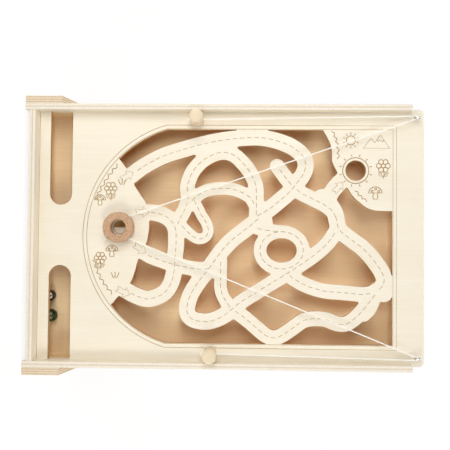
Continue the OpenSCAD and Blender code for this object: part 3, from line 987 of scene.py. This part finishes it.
@dataclass
class Drawing:
    """Burnt lines on the panel: borders, dashes along the roads, arrows and small scenes.

    Sizes are in millimetres. A border has half its width, its top and its arch's radius; an arrow has
    the place of its tip, its size and its turn in degrees.
    """

    width: float = 0.85
    thin: float = 0.65
    height: float = 0.05
    dash: float = 4.7
    gap: float = 2.8
    closing: float = 0.001
    borders: tuple[Spot, ...] = ((114.0, 378.4, 118.8), (110.1, 374.9, 114.9))
    arch: float = 176.6
    arrows: tuple[tuple[Point, float, float], ...] = (
        ((-65, 109), 15.0, 122.0), ((-24, 126), 15.0, 90.0), ((18, 123), 15.0, 55.0),
        ((61, 107), 15.0, 65.0), ((-56, 324), 14.0, 140.0),
    )
    goal: Point = (-68.0, 337.0)
    goal_ring: float = 13.2
    goal_ticks: Point = (14.6, 17.0)
    tick_count: int = 12
    start: Point = (-8.0, 96.0)
    mark: float = 6.4
    hatch_count: int = 7
    hatch_first: float = 0.6
    hatch_step: float = 0.8
    blade: float = 6.4
    blade_gap: float = 1.6
    blade_leans: Spot = (-24.0, 0.0, 24.0)
    upright: float = 90.0
    line_tones: Tones = Tones((0.55, 0.365, 0.14), (0.38, 0.21, 0.065))
    thin_tones: Tones = Tones((0.60, 0.45, 0.24), (0.45, 0.31, 0.14))

    def build(self) -> None:
        """Draws everything on the panel."""
        brown = BurntLine("burnt_line", self.line_tones).material()
        pale = BurntLine("pale_burnt_line", self.thin_tones).material()
        borders = [self.border(*border) for border in self.borders]
        self.lines("border_lines", borders, self.thin, pale)
        dashes = [dash for road in ROADS for dash in self.dashes(road)]
        self.lines("road_dashes", dashes, self.thin, pale)
        arrows = [placed(ARROW, *arrow) for arrow in self.arrows]
        self.lines("road_arrows", arrows, self.thin, brown)
        self.lines("goal_scene", self.goal_scene(), self.width, brown)
        self.lines("start_scene", self.start_scene(), self.width, brown)
        self.lines("start_mark", self.start_mark(), self.width, brown)

    def lines(self, name: str, lines: list[Line], width: float, finish: bpy.types.Material) -> None:
        """Draws lines as one flat piece on the panel.

        Args:
            name: Name of the piece.
            lines: The lines, as points across and up the panel in millimetres.
            width: Width of the lines in millimetres.
            finish: Their finish.
        """
        obj = Bench.curve(name, width / 2)
        obj.data.bevel_resolution = 0
        for line in lines:
            closed = len(line) > 2 and (Vector(line[0]) - Vector(line[-1])).length < self.closing
            Bench.run(obj, [(x, u, 0.0) for x, u in (line[:-1] if closed else line)], closed)
        obj = Bench.to_mesh(obj)
        Bench.edit(obj)
        flat = (1.0, 1.0, 2 * self.height / width)
        bpy.ops.transform.resize(value=flat, center_override=(0.0, 0.0, 0.0))
        bpy.ops.mesh.normals_make_consistent(inside=False)
        Bench.settle(obj, PANEL.matrix())
        Bench.dress(obj, finish)
        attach(obj, "root")
        LOG.info("drawing %s", name)

    def border(self, half: float, top: float, radius: float) -> Line:
        """Draws a closed line round the field: straight sides, a square top and an arched foot.

        Args:
            half: Half its width.
            top: Height of its top.
            radius: Radius of the arch.

        Returns:
            The line.
        """
        angle = math.degrees(math.acos(half / radius))
        foot = arc_line((0.0, self.arch), (radius, radius), angle - 180.0, -angle, steps=60)
        return [(-half, top), *foot, (half, top), (-half, top)]

    def dashes(self, road: Road) -> list[Line]:
        """Cuts a road's centre line into dashes.

        Args:
            road: The road.

        Returns:
            The dashes.
        """
        line = smooth_line(road.points)
        total = length_of(line) - road.start - road.stop
        count = max(1, round((total + self.gap) / (self.dash + self.gap)))
        pitch = (total + self.gap) / count
        starts = [road.start + i * pitch for i in range(count)]
        return [cut_line(line, start, start + pitch - self.gap) for start in starts]

    @staticmethod
    def sun(centre: Point, radius: float) -> list[Line]:
        """A sun with ten straight rays."""
        rays = [placed(RAY, centre, radius, 36.0 * i) for i in range(10)]
        return [circle_line(centre, radius, 24), *rays]

    def flower(self, spot: Point, size: float) -> list[Line]:
        """A flower with six petals, a stem and two leaves."""
        petals = [placed([(0.25, 0.0)], (0.0, 0.72), 1.0, 60.0 * i)[0] for i in range(6)]
        shapes = [circle_line(petal, 0.14, 14) for petal in petals]
        heart = circle_line((0.0, 0.72), 0.11, 12)
        shapes += [heart, STEM, LEAF, [(-x, y) for x, y in LEAF]]
        return [placed(shape, spot, size, self.upright) for shape in shapes]

    def mushroom(self, spot: Point, size: float) -> list[Line]:
        """A mushroom with three dots on its cap."""
        cap = arc_line((0.0, 0.48), (0.52, 0.48), 180.0, 0.0, 18)
        dots = [circle_line(dot, 0.08, 10) for dot in CAP_DOTS]
        return [placed(shape, spot, size, self.upright) for shape in ([*cap, cap[0]], STALK, *dots)]

    def peaks(self, spot: Point, size: float) -> list[Line]:
        """Two peaks with snow on the higher one."""
        return [placed(shape, spot, size, self.upright) for shape in (PEAKS, SNOW)]

    @staticmethod
    def hedge(points: Line, step: float, bulge: float) -> list[Line]:
        """Draws a row of small bows along a line.

        Args:
            points: Points that the line passes through.
            step: Width of a bow.
            bulge: Height of a bow, to the left of the line.

        Returns:
            The bows.
        """
        line = smooth_line(points)
        total = length_of(line)
        count = max(1, round(total / step))
        out = []
        for i in range(count):
            piece = cut_line(line, total * i / count, total * (i + 1) / count)
            a, b = Vector(piece[0]), Vector(piece[-1])
            side = Vector((a.y - b.y, b.x - a.x)).normalized() * bulge
            out.append(smooth_line([piece[0], tuple((a + b) / 2 + side), piece[-1]], steps=5))
        return out

    def goal_scene(self) -> list[Line]:
        """A finish ring round the goal hole, with a sun, peaks, a flower and a mushroom beside it."""
        out = [circle_line(self.goal, self.goal_ring, 48)]
        tick = [(reach, 0.0) for reach in self.goal_ticks]
        pitch = 360.0 / self.tick_count
        out += [placed(tick, self.goal, 1.0, pitch * (i + 0.5)) for i in range(self.tick_count)]
        out += self.sun((-99, 332), 4.6)
        out += self.peaks((-91, 358), 13.5)
        out += self.flower((-60, 365), 18.0)
        out += self.mushroom((-39, 357), 13.0)
        out += self.hedge([(-108, 312), (-99, 316), (-89, 318), (-80, 318)], 5.6, 2.2)
        out += self.hedge([(-47, 336), (-40, 342), (-36, 348)], 5.2, 2.0)
        return out

    def start_scene(self) -> list[Line]:
        """Flowers, mushrooms, grass and hedges round the start."""
        out = self.flower((-36, 86), 17.0) + self.mushroom((-31, 75), 11.0)
        out += self.flower((35, 76), 16.0) + self.mushroom((22, 88), 12.0)
        blade = [(0.0, 0.0), (0.0, self.blade)]
        for x, u in ((-52, 96), (44, 90)):
            for i, lean in enumerate(self.blade_leans):
                out.append(placed(blade, (x, u + i * self.blade_gap), 1.0, self.upright - lean))
        out += self.hedge([(-74, 92), (-64, 84), (-55, 78), (-46, 73), (-37, 69)], 7.2, 2.6)
        out += self.hedge([(26, 68), (35, 71), (44, 75), (53, 81), (61, 88)], 7.2, 2.6)
        return out

    def start_mark(self) -> list[Line]:
        """A round mark, half of it hatched, where the ring stands at the start."""
        out = [circle_line(self.start, self.mark, 40)]
        for i in range(self.hatch_count):
            x = -self.hatch_first - self.hatch_step * i
            half = math.sqrt(self.mark * self.mark - x * x)
            out.append([(self.start[0] + x, self.start[1] + end) for end in (-half, half)])
        return out


@dataclass
class FrontPanel:
    """The cut-out front panel."""

    rear: float = -5.0
    faces: Tones = Tones((0.925, 0.855, 0.715), (0.865, 0.77, 0.60))
    edges: Tones = Tones((0.70, 0.45, 0.22), (0.48, 0.27, 0.11))
    # Painted shade: orange tones on the panel's rear face, inside the case, stand in for the warm shade
    # between the panels
    rear_face_shade: Tones = Tones((0.89, 0.45, 0.16), (0.77, 0.35, 0.10))

    def build(self) -> None:
        """Dresses the panel's solid, which has the maze in it already."""
        first = PANEL.out.dot(PANEL.at(0.0, 0.0, self.rear)) / MM
        wood = Plywood("panel_ply", self.faces, self.edges, PANEL.out, PANEL.up, first, inner_shade=self.rear_face_shade)
        Bench.dress(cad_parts["front_panel"], wood.material())
        LOG.info("front panel")


@dataclass
class Carrier:
    """The turned ring that carries the ball. Sizes are in millimetres."""

    x: float = -8.0
    u: float = 96.0
    outer: float = 15.5
    bore: float = 7.75
    thick: float = 12.0
    edge: float = 1.5
    flank: float = 11.625
    hole: float = 1.0
    turns: int = 96
    tones: Tones = Tones((0.64, 0.415, 0.26), (0.40, 0.23, 0.13))

    def build(self) -> None:
        """Turns the ring on its axis, drills it for the strings and dresses it."""
        Bench.clear()
        wall = self.outer - self.bore
        bpy.ops.mesh.primitive_plane_add(size=1.0, rotation=(math.pi / 2, 0.0, 0.0))
        ring = bpy.context.object
        ring.name = ring.data.name = "turned_ring"
        ring.scale = (wall * MM, self.thick * MM, 1.0)
        ring.location = ((self.bore + wall / 2) * MM, 0.0, self.thick / 2 * MM)
        bpy.ops.object.transform_apply(location=True, rotation=True, scale=True)
        Bench.edit(ring)
        bpy.ops.mesh.bevel(affect="VERTICES", offset=self.edge * MM, segments=6)
        bpy.ops.mesh.select_all(action="SELECT")
        bpy.ops.mesh.delete(type="ONLY_FACE")
        bpy.ops.mesh.select_all(action="SELECT")
        bpy.ops.mesh.spin(steps=self.turns, angle=math.tau, center=(0.0, 0.0, 0.0), axis=(0.0, 0.0, 1.0))
        Bench.tidy(ring)
        for side in Side:
            Bench.drill(ring, self.hole, self.outer, (side.value * self.flank, 0.0, self.thick / 2))
        place = Matrix.Translation(Vector((self.x, self.u, PLAY)) * MM)
        Bench.settle(ring, PANEL.matrix() @ place)
        Bench.smooth(ring, angle=32.0)
        wood = TurnedWood("ring_beech", self.tones, PANEL.out, ACROSS, pores=0.65, pore_scale=750.0)
        Bench.dress(ring, wood.material())
        Bench.hang(ring, "ring", "ring_carrier", "beech")


@dataclass
class Pulls:
    """The two turned pull knobs. Sizes are in millimetres; the profile has radii and heights."""

    x: float = 118.6
    left_u: float = 175.0
    right_u: float = 190.0
    shaft: float = 6.5
    hole: float = 1.0
    around: int = 64
    tones: Tones = Tones((0.85, 0.72, 0.52), (0.73, 0.56, 0.36))
    profile: tuple[Point, ...] = (
        (5.9, 0.0), (6.4, 0.25), (6.5, 0.7), (6.5, 12.4), (6.4, 13.6), (6.2, 14.9), (6.05, 16.0),
        (6.2, 16.8), (6.7, 17.6), (7.2, 18.4), (7.45, 19.4), (7.5, 20.4), (7.42, 21.4), (7.1, 22.4),
        (6.5, 23.25), (5.6, 23.9), (4.3, 24.45), (2.6, 24.83), (0.8, 25.0),
    )

    def place(self, side: Side) -> float:
        """Height of a side's knob."""
        return self.left_u if side is Side.LEFT else self.right_u

    def build(self) -> None:
        """Turns both knobs, bores them for the string and dresses them."""
        for side in Side:
            knob = self.turn(f"{side.word}_pull_knob")
            Bench.drill(knob, self.hole, self.shaft, (0.0, 0.0, STRING_PLANE - PLAY))
            where = Vector((side.value * self.x, self.place(side), PLAY)) * MM
            Bench.settle(knob, PANEL.matrix() @ Matrix.Translation(where))
            Bench.smooth(knob, angle=40.0)
            wood = TurnedWood(f"{side.word}_knob_birch", self.tones, PANEL.out, PANEL.up)
            Bench.dress(knob, wood.material())
            Bench.hang(knob, f"{side.word}_knob", f"{side.word}_pull", "knob_birch")

    def turn(self, name: str) -> bpy.types.Object:
        """Draws the knob up from a circle, ring by ring.

        Args:
            name: Name of the knob.

        Returns:
            The knob, standing on its own origin.
        """
        Bench.clear()
        radius, height = self.profile[0]
        bpy.ops.mesh.primitive_circle_add(vertices=self.around, radius=radius * MM, fill_type="NGON")
        knob = bpy.context.object
        knob.name = knob.data.name = name
        Bench.edit(knob)
        bpy.ops.mesh.select_mode(type="FACE")
        for next_radius, next_height in self.profile[1:]:
            rise = (0.0, 0.0, (next_height - height) * MM)
            bpy.ops.mesh.extrude_region_move(TRANSFORM_OT_translate={"value": rise})
            scale = next_radius / radius
            bpy.ops.transform.resize(value=(scale, scale, 1.0), center_override=(0.0, 0.0, 0.0))
            radius, height = next_radius, next_height
        bpy.ops.object.mode_set(mode="OBJECT")
        Bench.tidy(knob)
        return knob


@dataclass
class Eyes:
    """The two wire eyes in the upper corners.

    Sizes are in millimetres, wire and loop are radii, and the loop's turn is in degrees.
    """

    x: float = 121.0
    u: float = 398.0
    wire: float = 0.85
    loop: float = 3.15
    shank: float = 16.0
    neck: float = 0.2
    turn: float = 352.0
    steps: int = 48
    tones: Tones = Tones((0.62, 0.61, 0.58), (0.40, 0.39, 0.37))

    def build(self) -> None:
        """Bends the wire of both eyes and dresses it."""
        finish = Metal("nickel_wire", self.tones, roughness=0.22).material()
        for side in Side:
            x = side.value * self.x
            line = [(x, self.u, -self.shank), (x, self.u, STRING_PLANE - self.loop - self.neck)]
            for k in range(1, self.steps + 1):
                a = math.radians(self.turn * k / self.steps - 90.0)
                line.append((x, self.u + self.loop * math.cos(a), STRING_PLANE + self.loop * math.sin(a)))
            eye = Bench.tube(f"{side.word}_wire_eye", line, self.wire)
            Bench.settle(eye, PANEL.matrix())
            Bench.smooth(eye, angle=50.0)
            Bench.dress(eye, finish)
            Bench.hang(eye, f"{side.word}_eye", "root", "plated_wire")


@dataclass
class Strings:
    """The two lifting strings with their turns over the eyes and their knots. Sizes are in millimetres."""

    thick: float = 1.4
    strands: int = 3
    strand: float = 0.42
    strand_sides: int = 8
    spread: float = 0.30
    pitch: float = 5.0
    pitch_steps: int = 9
    turn_gap: float = 0.2
    turn_steps: int = 20
    path_steps: int = 60
    kink: float = 0.75
    knot: float = 3.8
    knot_gap: float = 0.05
    knot_cord: float = 0.66
    knot_slack: float = 0.06
    knot_rise: float = 1.1
    knot_steps: int = 72
    bend_below: float = 0.4
    bend_above: float = 0.25
    bend_slack: float = 0.03
    round_angle: float = 60.0
    lift: float = 240.0
    finish: bpy.types.Material = field(init=False)

    def build(self, ring: Carrier, pulls: Pulls, eyes: Eyes) -> None:
        """Lays both strings.

        Args:
            ring: The ring that they lift.
            pulls: The knobs that they end in.
            eyes: The eyes that they turn over.
        """
        self.finish = Cotton().material()
        mouth = ring.u + math.sqrt(ring.outer ** 2 - ring.flank ** 2)
        reach = ring.outer + self.knot / 2 + self.knot_gap
        ring_knot_u = ring.u - math.sqrt(reach ** 2 - ring.flank ** 2)
        radius = eyes.wire + self.turn_gap + self.thick / 2
        ring_knots = []
        for side in Side:
            s = side.value
            wire = Vector((s * eyes.x, eyes.u - eyes.loop))
            ring_end = Vector((ring.x + s * ring.flank, mouth + self.kink))
            knob_u = pulls.place(side)
            knob_end = Vector((s * pulls.x, knob_u + pulls.shaft + self.kink))
            ring_angle = self.leave(wire, ring_end, radius, -s)
            knob_angle = self.leave(wire, knob_end, radius, s)
            self.span(side, wire + self.around(radius, ring_angle), ring_end)
            self.back(side, wire + self.around(radius, knob_angle), knob_end)
            self.turn(side, wire, radius, ring_angle, knob_angle)
            ring_knots.append(self.knotted(f"{side.word}_ring_knot", ring_end.x, ring_knot_u, ring_end.y))
            knot_u = knob_u - pulls.shaft - self.knot / 2 - self.knot_gap
            tie = self.knotted(f"{side.word}_knob_tie", knob_end.x, knot_u, knob_end.y)
            Bench.hang(tie, f"{side.word}_knob_knot", f"{side.word}_pull", "cotton")
        Bench.hang(Bench.join("ring_ties", ring_knots), "ring_knots", "ring_carrier", "cotton")

    @staticmethod
    def around(radius: float, angle: float) -> Vector:
        """Step from a wire's centre to its string at an angle in radians."""
        return radius * Vector((math.cos(angle), math.sin(angle)))

    @staticmethod
    def leave(centre: Vector, end: Vector, radius: float, side: int) -> float:
        """Finds the angle at which a straight string leaves a round wire.

        Args:
            centre: Centre of the wire.
            end: The string's other end.
            radius: Distance of the string's centre line from the wire's centre.
            side: Side of the wire that it leaves on, as a sign of X.

        Returns:
            The angle in radians.
        """
        to = end - centre
        return math.atan2(to.y, to.x) + side * math.acos(radius / to.length)

    def rope(self, name: str, length: float) -> bpy.types.Object:
        """Twists a string along Z.

        Args:
            name: Name of the piece.
            length: Its length in millimetres.

        Returns:
            The string, from the origin up.
        """
        turns = length / self.pitch
        parts = []
        for i in range(self.strands):
            Bench.clear()
            spot = (*self.around(self.spread * MM, math.tau * i / self.strands), 0.0)
            bpy.ops.mesh.primitive_circle_add(
                vertices=self.strand_sides, radius=self.strand * MM, fill_type="NOTHING", location=spot)
            strand = bpy.context.object
            bpy.ops.object.transform_apply(location=True, rotation=True, scale=True)
            screw = strand.modifiers.new("twist", "SCREW")
            screw.angle = math.tau * turns
            screw.screw_offset = length * MM
            screw.steps = screw.render_steps = max(8, round(turns * self.pitch_steps))
            screw.use_normal_calculate = True
            Bench.apply_all(strand)
            Bench.edit(strand)
            bpy.ops.mesh.select_non_manifold(extend=False)
            bpy.ops.mesh.edge_face_add()
            bpy.ops.object.mode_set(mode="OBJECT")
            parts.append(strand)
        rope = Bench.join(name, parts)
        Bench.tidy(rope, gap=0.0005)
        Bench.smooth(rope, self.round_angle)
        Bench.dress(rope, self.finish)
        return rope

    def stretch(self, name: str, start: Vector, end: Vector) -> bpy.types.Object:
        """Args:
            name: Name of the piece.
            start: Its end at the eye, across and up the panel.
            end: Its other end.

        Returns:
            The piece.
        """
        a, b = (PANEL.at(p.x, p.y, STRING_PLANE) for p in (start, end))
        rope = self.rope(name, (b - a).length / MM)
        turn = (b - a).to_track_quat("Z", "Y").to_matrix().to_4x4()
        Bench.settle(rope, Matrix.Translation(a) @ turn)
        LOG.info("%s", name)
        return rope

    def span(self, side: Side, start: Vector, end: Vector) -> None:
        """Lays the stretch from the eye to the ring, which shortens as the ring rises.

        Args:
            side: The side.
            start: Where it leaves the eye.
            end: Where it enters the ring.
        """
        rope = self.stretch(f"{side.word}_lift_string", start, end)
        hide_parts(f"{side.word}_string_span")
        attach(rope, "root")
        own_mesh(rope)

    def back(self, side: Side, start: Vector, end: Vector) -> None:
        """Lays the stretch from the eye to the knob, which follows the knob.

        Args:
            side: The side.
            start: Where it leaves the eye.
            end: Where it enters the knob.
        """
        rope = self.stretch(f"{side.word}_pull_string", start, end)
        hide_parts(f"{side.word}_string_return")
        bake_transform(rope)

    def turn(self, side: Side, centre: Vector, radius: float, first: float, last: float) -> None:
        """Bends the short stretch over the eye's wire.

        Args:
            side: The side.
            centre: Centre of the wire.
            radius: Radius of the string's centre line.
            first: Angle where the lift string starts.
            last: Angle where the pull string starts.
        """
        angle = (last - first) % math.tau
        if side is Side.RIGHT:
            angle -= math.tau
        parts = []
        for i in range(self.strands):
            line = []
            for k in range(self.turn_steps + 1):
                gone = angle * k / self.turn_steps
                twist = math.tau * (i / self.strands + abs(gone) * radius / self.pitch)
                spot = centre + self.around(radius + self.spread * math.cos(twist), first + gone)
                line.append((spot.x, spot.y, STRING_PLANE + self.spread * math.sin(twist)))
            parts.append(Bench.tube("strand", line, self.strand))
        piece = Bench.join(f"{side.word}_eye_turn", parts)
        Bench.settle(piece, PANEL.matrix())
        Bench.smooth(piece, self.round_angle)
        Bench.dress(piece, self.finish)
        Bench.hang(piece, f"{side.word}_string_turn", "root", "cotton")

    def knotted(self, name: str, x: float, knot_u: float, top_u: float) -> bpy.types.Object:
        """Ties the string's end: a knot below the hole and the stem through it.

        Args:
            name: Name of the piece.
            x: Place across the panel.
            knot_u: Height of the knot.
            top_u: Height of the stem's upper end.

        Returns:
            The tied end.
        """
        # The knot's centre line is a trefoil, which reaches 3 times its size
        size = (self.knot / 2 - self.knot_cord - self.knot_slack) / 3
        loop = []
        for k in range(self.knot_steps):
            t = math.tau * k / self.knot_steps
            across = size * (math.sin(t) + 2 * math.sin(2 * t))
            out = size * (math.cos(t) - 2 * math.cos(2 * t))
            rise = self.knot_rise * size * math.sin(3 * t)
            loop.append((x + across, knot_u - rise, STRING_PLANE + out))
        knot = Bench.settle(Bench.tube(name, loop, self.knot_cord, closed=True), PANEL.matrix())
        stem = self.rope(name + "_stem", top_u - knot_u)
        turn = PANEL.up.to_track_quat("Z", "Y").to_matrix().to_4x4()
        Bench.settle(stem, Matrix.Translation(PANEL.at(x, knot_u, STRING_PLANE)) @ turn)
        line = [(x, u, STRING_PLANE) for u in (top_u - self.bend_below, top_u + self.bend_above)]
        bend = Bench.tube(name + "_bend", line, self.thick / 2 - self.bend_slack)
        Bench.settle(bend, PANEL.matrix())
        tied = Bench.join(name, [knot, stem, bend])
        Bench.smooth(tied, self.round_angle)
        Bench.dress(tied, self.finish)
        return tied


@dataclass
class Balls:
    """The steel ball and the glass marble in the tray."""

    cuts: int = 5
    # Painted reflection: the steel gets a dark colour, as if it mirrored dark surroundings
    dark_reflection_steel_tones: Tones = Tones((0.17, 0.161, 0.155), (0.135, 0.127, 0.121))

    def build(self) -> None:
        """Makes both balls in the places of their solids."""
        steel = Metal("bearing_steel", self.dark_reflection_steel_tones, roughness=0.02, marks=500.0).material()
        self.ball("bearing_ball", "steel_ball", "steel_roller", "polished_steel", steel)
        glass = BottleGlass().material()
        self.ball("green_marble", "glass_marble", "glass_roller", "green_glass", glass)

    def ball(self, name: str, node: str, body: str, slot: str, material: bpy.types.Material) -> None:
        """Rounds a cube into a ball.

        Args:
            name: Name of the ball.
            node: The solid that it shows.
            body: The body that it rides on.
            slot: The record's material slot.
            material: Its finish.
        """
        low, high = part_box(node)
        radius = (high - low).z / 2
        Bench.clear()
        bpy.ops.mesh.primitive_cube_add(size=radius)
        obj = bpy.context.object
        obj.name = obj.data.name = name
        Bench.edit(obj)
        for _ in range(self.cuts):
            bpy.ops.mesh.subdivide(number_cuts=1)
        bpy.ops.object.mode_set(mode="OBJECT")
        cast = obj.modifiers.new("round", "CAST")
        cast.factor = 1.0
        cast.use_radius_as_size = False
        cast.size = radius
        Bench.apply_all(obj)
        Bench.settle(obj, Matrix.Translation((low + high) / 2))
        Bench.smooth(obj, angle=60.0)
        Bench.dress(obj, material)
        Bench.hang(obj, node, body, slot)


@dataclass
class Fasteners:
    """Nails and screws, which keep their solids."""

    nodes: tuple[str, ...] = ("back_nails_set", "floor_nails", "top_nails", "foot_screws")
    tones: Tones = Tones((0.52, 0.52, 0.53), (0.34, 0.33, 0.32))

    def build(self) -> None:
        """Dresses the fasteners."""
        finish = Metal("bare_steel", self.tones, roughness=0.32).material()
        for node in self.nodes:
            Bench.dress(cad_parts[node], finish)
        LOG.info("fasteners")


@dataclass(frozen=True)
class Lamp:
    """A round soft lamp: its place in the panel's frame in millimetres, size in metres, power in watts."""

    name: str
    spot: Spot
    size: float
    power: float


@dataclass
class Studio:
    """Camera, lights, floor and background.

    The camera's place and the lamps' aim are in the panel's frame in millimetres, and the camera's turn
    is a rotation vector in radians. Clip and floor sizes are in metres.
    """

    lens: float = 48.0
    sensor: float = 36.0
    clip: tuple[float, float] = (0.01, 50.0)
    camera_at: Spot = (4.5605, 219.7746, 613.9379)
    camera_turn: Spot = (-0.026118, 0.025519, 0.0082846)
    aim: Spot = (0.0, 200.0, 0.0)
    ambient: float = 0.105
    floor_size: float = 8.0
    floor_grey: float = 0.9
    floor_roughness: float = 0.9
    floor_share: float = 0.6
    floor_glow: tuple[float, float] = (1.18, 1.56)
    floor_reach: tuple[float, float] = (0.5, 0.8)
    lamps: tuple[Lamp, ...] = (
        Lamp("left_lamp", (-600.0, 230.0, 670.0), 0.34, 2.2),
        Lamp("near_left_lamp", (-330.0, 230.0, 835.0), 0.34, 1.7),
        Lamp("right_lamp", (650.0, 240.0, 620.0), 0.34, 2.35),
        Lamp("upper_left_lamp", (-420.0, 560.0, 720.0), 0.12, 0.3),
        Lamp("upper_right_lamp", (470.0, 600.0, 690.0), 0.12, 0.5),
        Lamp("top_lamp", (30.0, 1500.0, 480.0), 0.6, 4.4),
        Lamp("left_side_lamp", (-1100.0, 150.0, -120.0), 0.5, 4.5),
        Lamp("right_side_lamp", (1100.0, 150.0, -120.0), 0.5, 4.5),
        Lamp("rear_lamp", (0.0, 700.0, -900.0), 0.8, 6.0),
    )

    def build(self) -> None:
        """Sets up the whole studio."""
        bpy.context.scene.view_settings.view_transform = "Standard"
        self.camera()
        self.sky()
        self.floor()
        for lamp in self.lamps:
            self.light(lamp)
        LOG.info("studio")

    def camera(self) -> None:
        """Sets the camera where the photograph was taken from."""
        turn = Vector(self.camera_turn)
        spin = Matrix.Rotation(turn.length, 3, turn.normalized())
        # In the photo the game lies on its side, with the panel's top to the right
        rows = spin @ Matrix(((0.0, 1.0, 0.0), (1.0, 0.0, 0.0), (0.0, 0.0, -1.0)))
        lay = PANEL.matrix().to_3x3()
        right, down, view = (lay @ rows[i] for i in range(3))
        pose = Matrix((right, -down, -view)).transposed().to_4x4()
        data = bpy.data.cameras.new("photo_camera")
        data.lens = self.lens
        data.sensor_width = self.sensor
        data.clip_start, data.clip_end = self.clip
        camera = bpy.data.objects.new("photo_camera", data)
        camera.matrix_world = Matrix.Translation(PANEL.at(*self.camera_at)) @ pose
        bpy.context.scene.collection.objects.link(camera)
        bpy.context.scene.camera = camera

    def light(self, lamp: Lamp) -> None:
        """Hangs one lamp and turns it to the panel.

        Args:
            lamp: The lamp.
        """
        data = bpy.data.lights.new(lamp.name, "AREA")
        data.shape = "DISK"
        data.size = lamp.size
        data.energy = lamp.power
        obj = bpy.data.objects.new(lamp.name, data)
        spot = PANEL.at(*lamp.spot)
        turn = (spot - PANEL.at(*self.aim)).to_track_quat("Z", "Y").to_matrix().to_4x4()
        obj.matrix_world = Matrix.Translation(spot) @ turn
        bpy.context.scene.collection.objects.link(obj)

    @staticmethod
    def seen(tree: bpy.types.NodeTree) -> bpy.types.NodeSocket:
        """Makes a value that is 1 for rays that see the background.

        Args:
            tree: The node tree.

        Returns:
            The value.
        """
        rays = tree.nodes.new("ShaderNodeLightPath").outputs
        value = rays["Is Camera Ray"]
        for name in ("Is Glossy Ray", "Is Transmission Ray"):
            larger = tree.nodes.new("ShaderNodeMath")
            larger.operation = "MAXIMUM"
            tree.links.new(value, larger.inputs[0])
            tree.links.new(rays[name], larger.inputs[1])
            value = larger.outputs[0]
        return value

    def sky(self) -> None:
        """White background that lights the object softly."""
        world = bpy.data.worlds.new("studio")
        bpy.context.scene.world = world
        world.use_nodes = True
        tree = world.node_tree
        background = tree.nodes["Background"]
        background.inputs["Color"].default_value = (1.0, 1.0, 1.0, 1.0)
        strength = tree.nodes.new("ShaderNodeMapRange")
        tree.links.new(self.seen(tree), strength.inputs["Value"])
        strength.inputs["To Min"].default_value = self.ambient
        strength.inputs["To Max"].default_value = 1.0
        tree.links.new(strength.outputs["Result"], background.inputs["Strength"])

    def floor(self) -> None:
        """Lays a plain pale floor that keeps a soft shadow near the game and is white farther off."""
        Bench.clear()
        bpy.ops.mesh.primitive_plane_add(size=self.floor_size)
        floor = bpy.context.object
        floor.name = "studio_floor"
        n = Nodes("pale_floor")
        n.feed(n.shader, "Base Color", (self.floor_grey, self.floor_grey, self.floor_grey, 1.0))
        n.feed(n.shader, "Roughness", self.floor_roughness)
        away = n.add("VectorMath", {0: n.place()}, operation="LENGTH").outputs["Value"]
        ends = zip(("From Min", "From Max", "To Min", "To Max"), (*self.floor_reach, *self.floor_glow))
        rise = n.add("MapRange", {"Value": away, **dict(ends)}).outputs["Result"]
        glow = n.add("Emission", {"Strength": rise}).outputs[0]
        share = n.math("MULTIPLY", self.seen(n.tree), self.floor_share)
        mix = n.add("MixShader", {0: share, 1: n.shader.outputs[0], 2: glow})
        n.feed(n.tree.nodes["Material Output"], "Surface", mix.outputs[0])
        Bench.dress(floor, n.material)


def main() -> None:
    """Builds the game piece by piece."""
    logging.basicConfig(level=logging.INFO, format="%(message)s")
    Studio().build()
    ring, pulls, eyes = Carrier(), Pulls(), Eyes()
    Strings().build(ring, pulls, eyes)
    Boards().build()
    FrontPanel().build()
    Drawing().build()
    ring.build()
    pulls.build()
    eyes.build()
    Balls().build()
    Fasteners().build()
    Bench.clear()


if __name__ == "__main__":
    main()
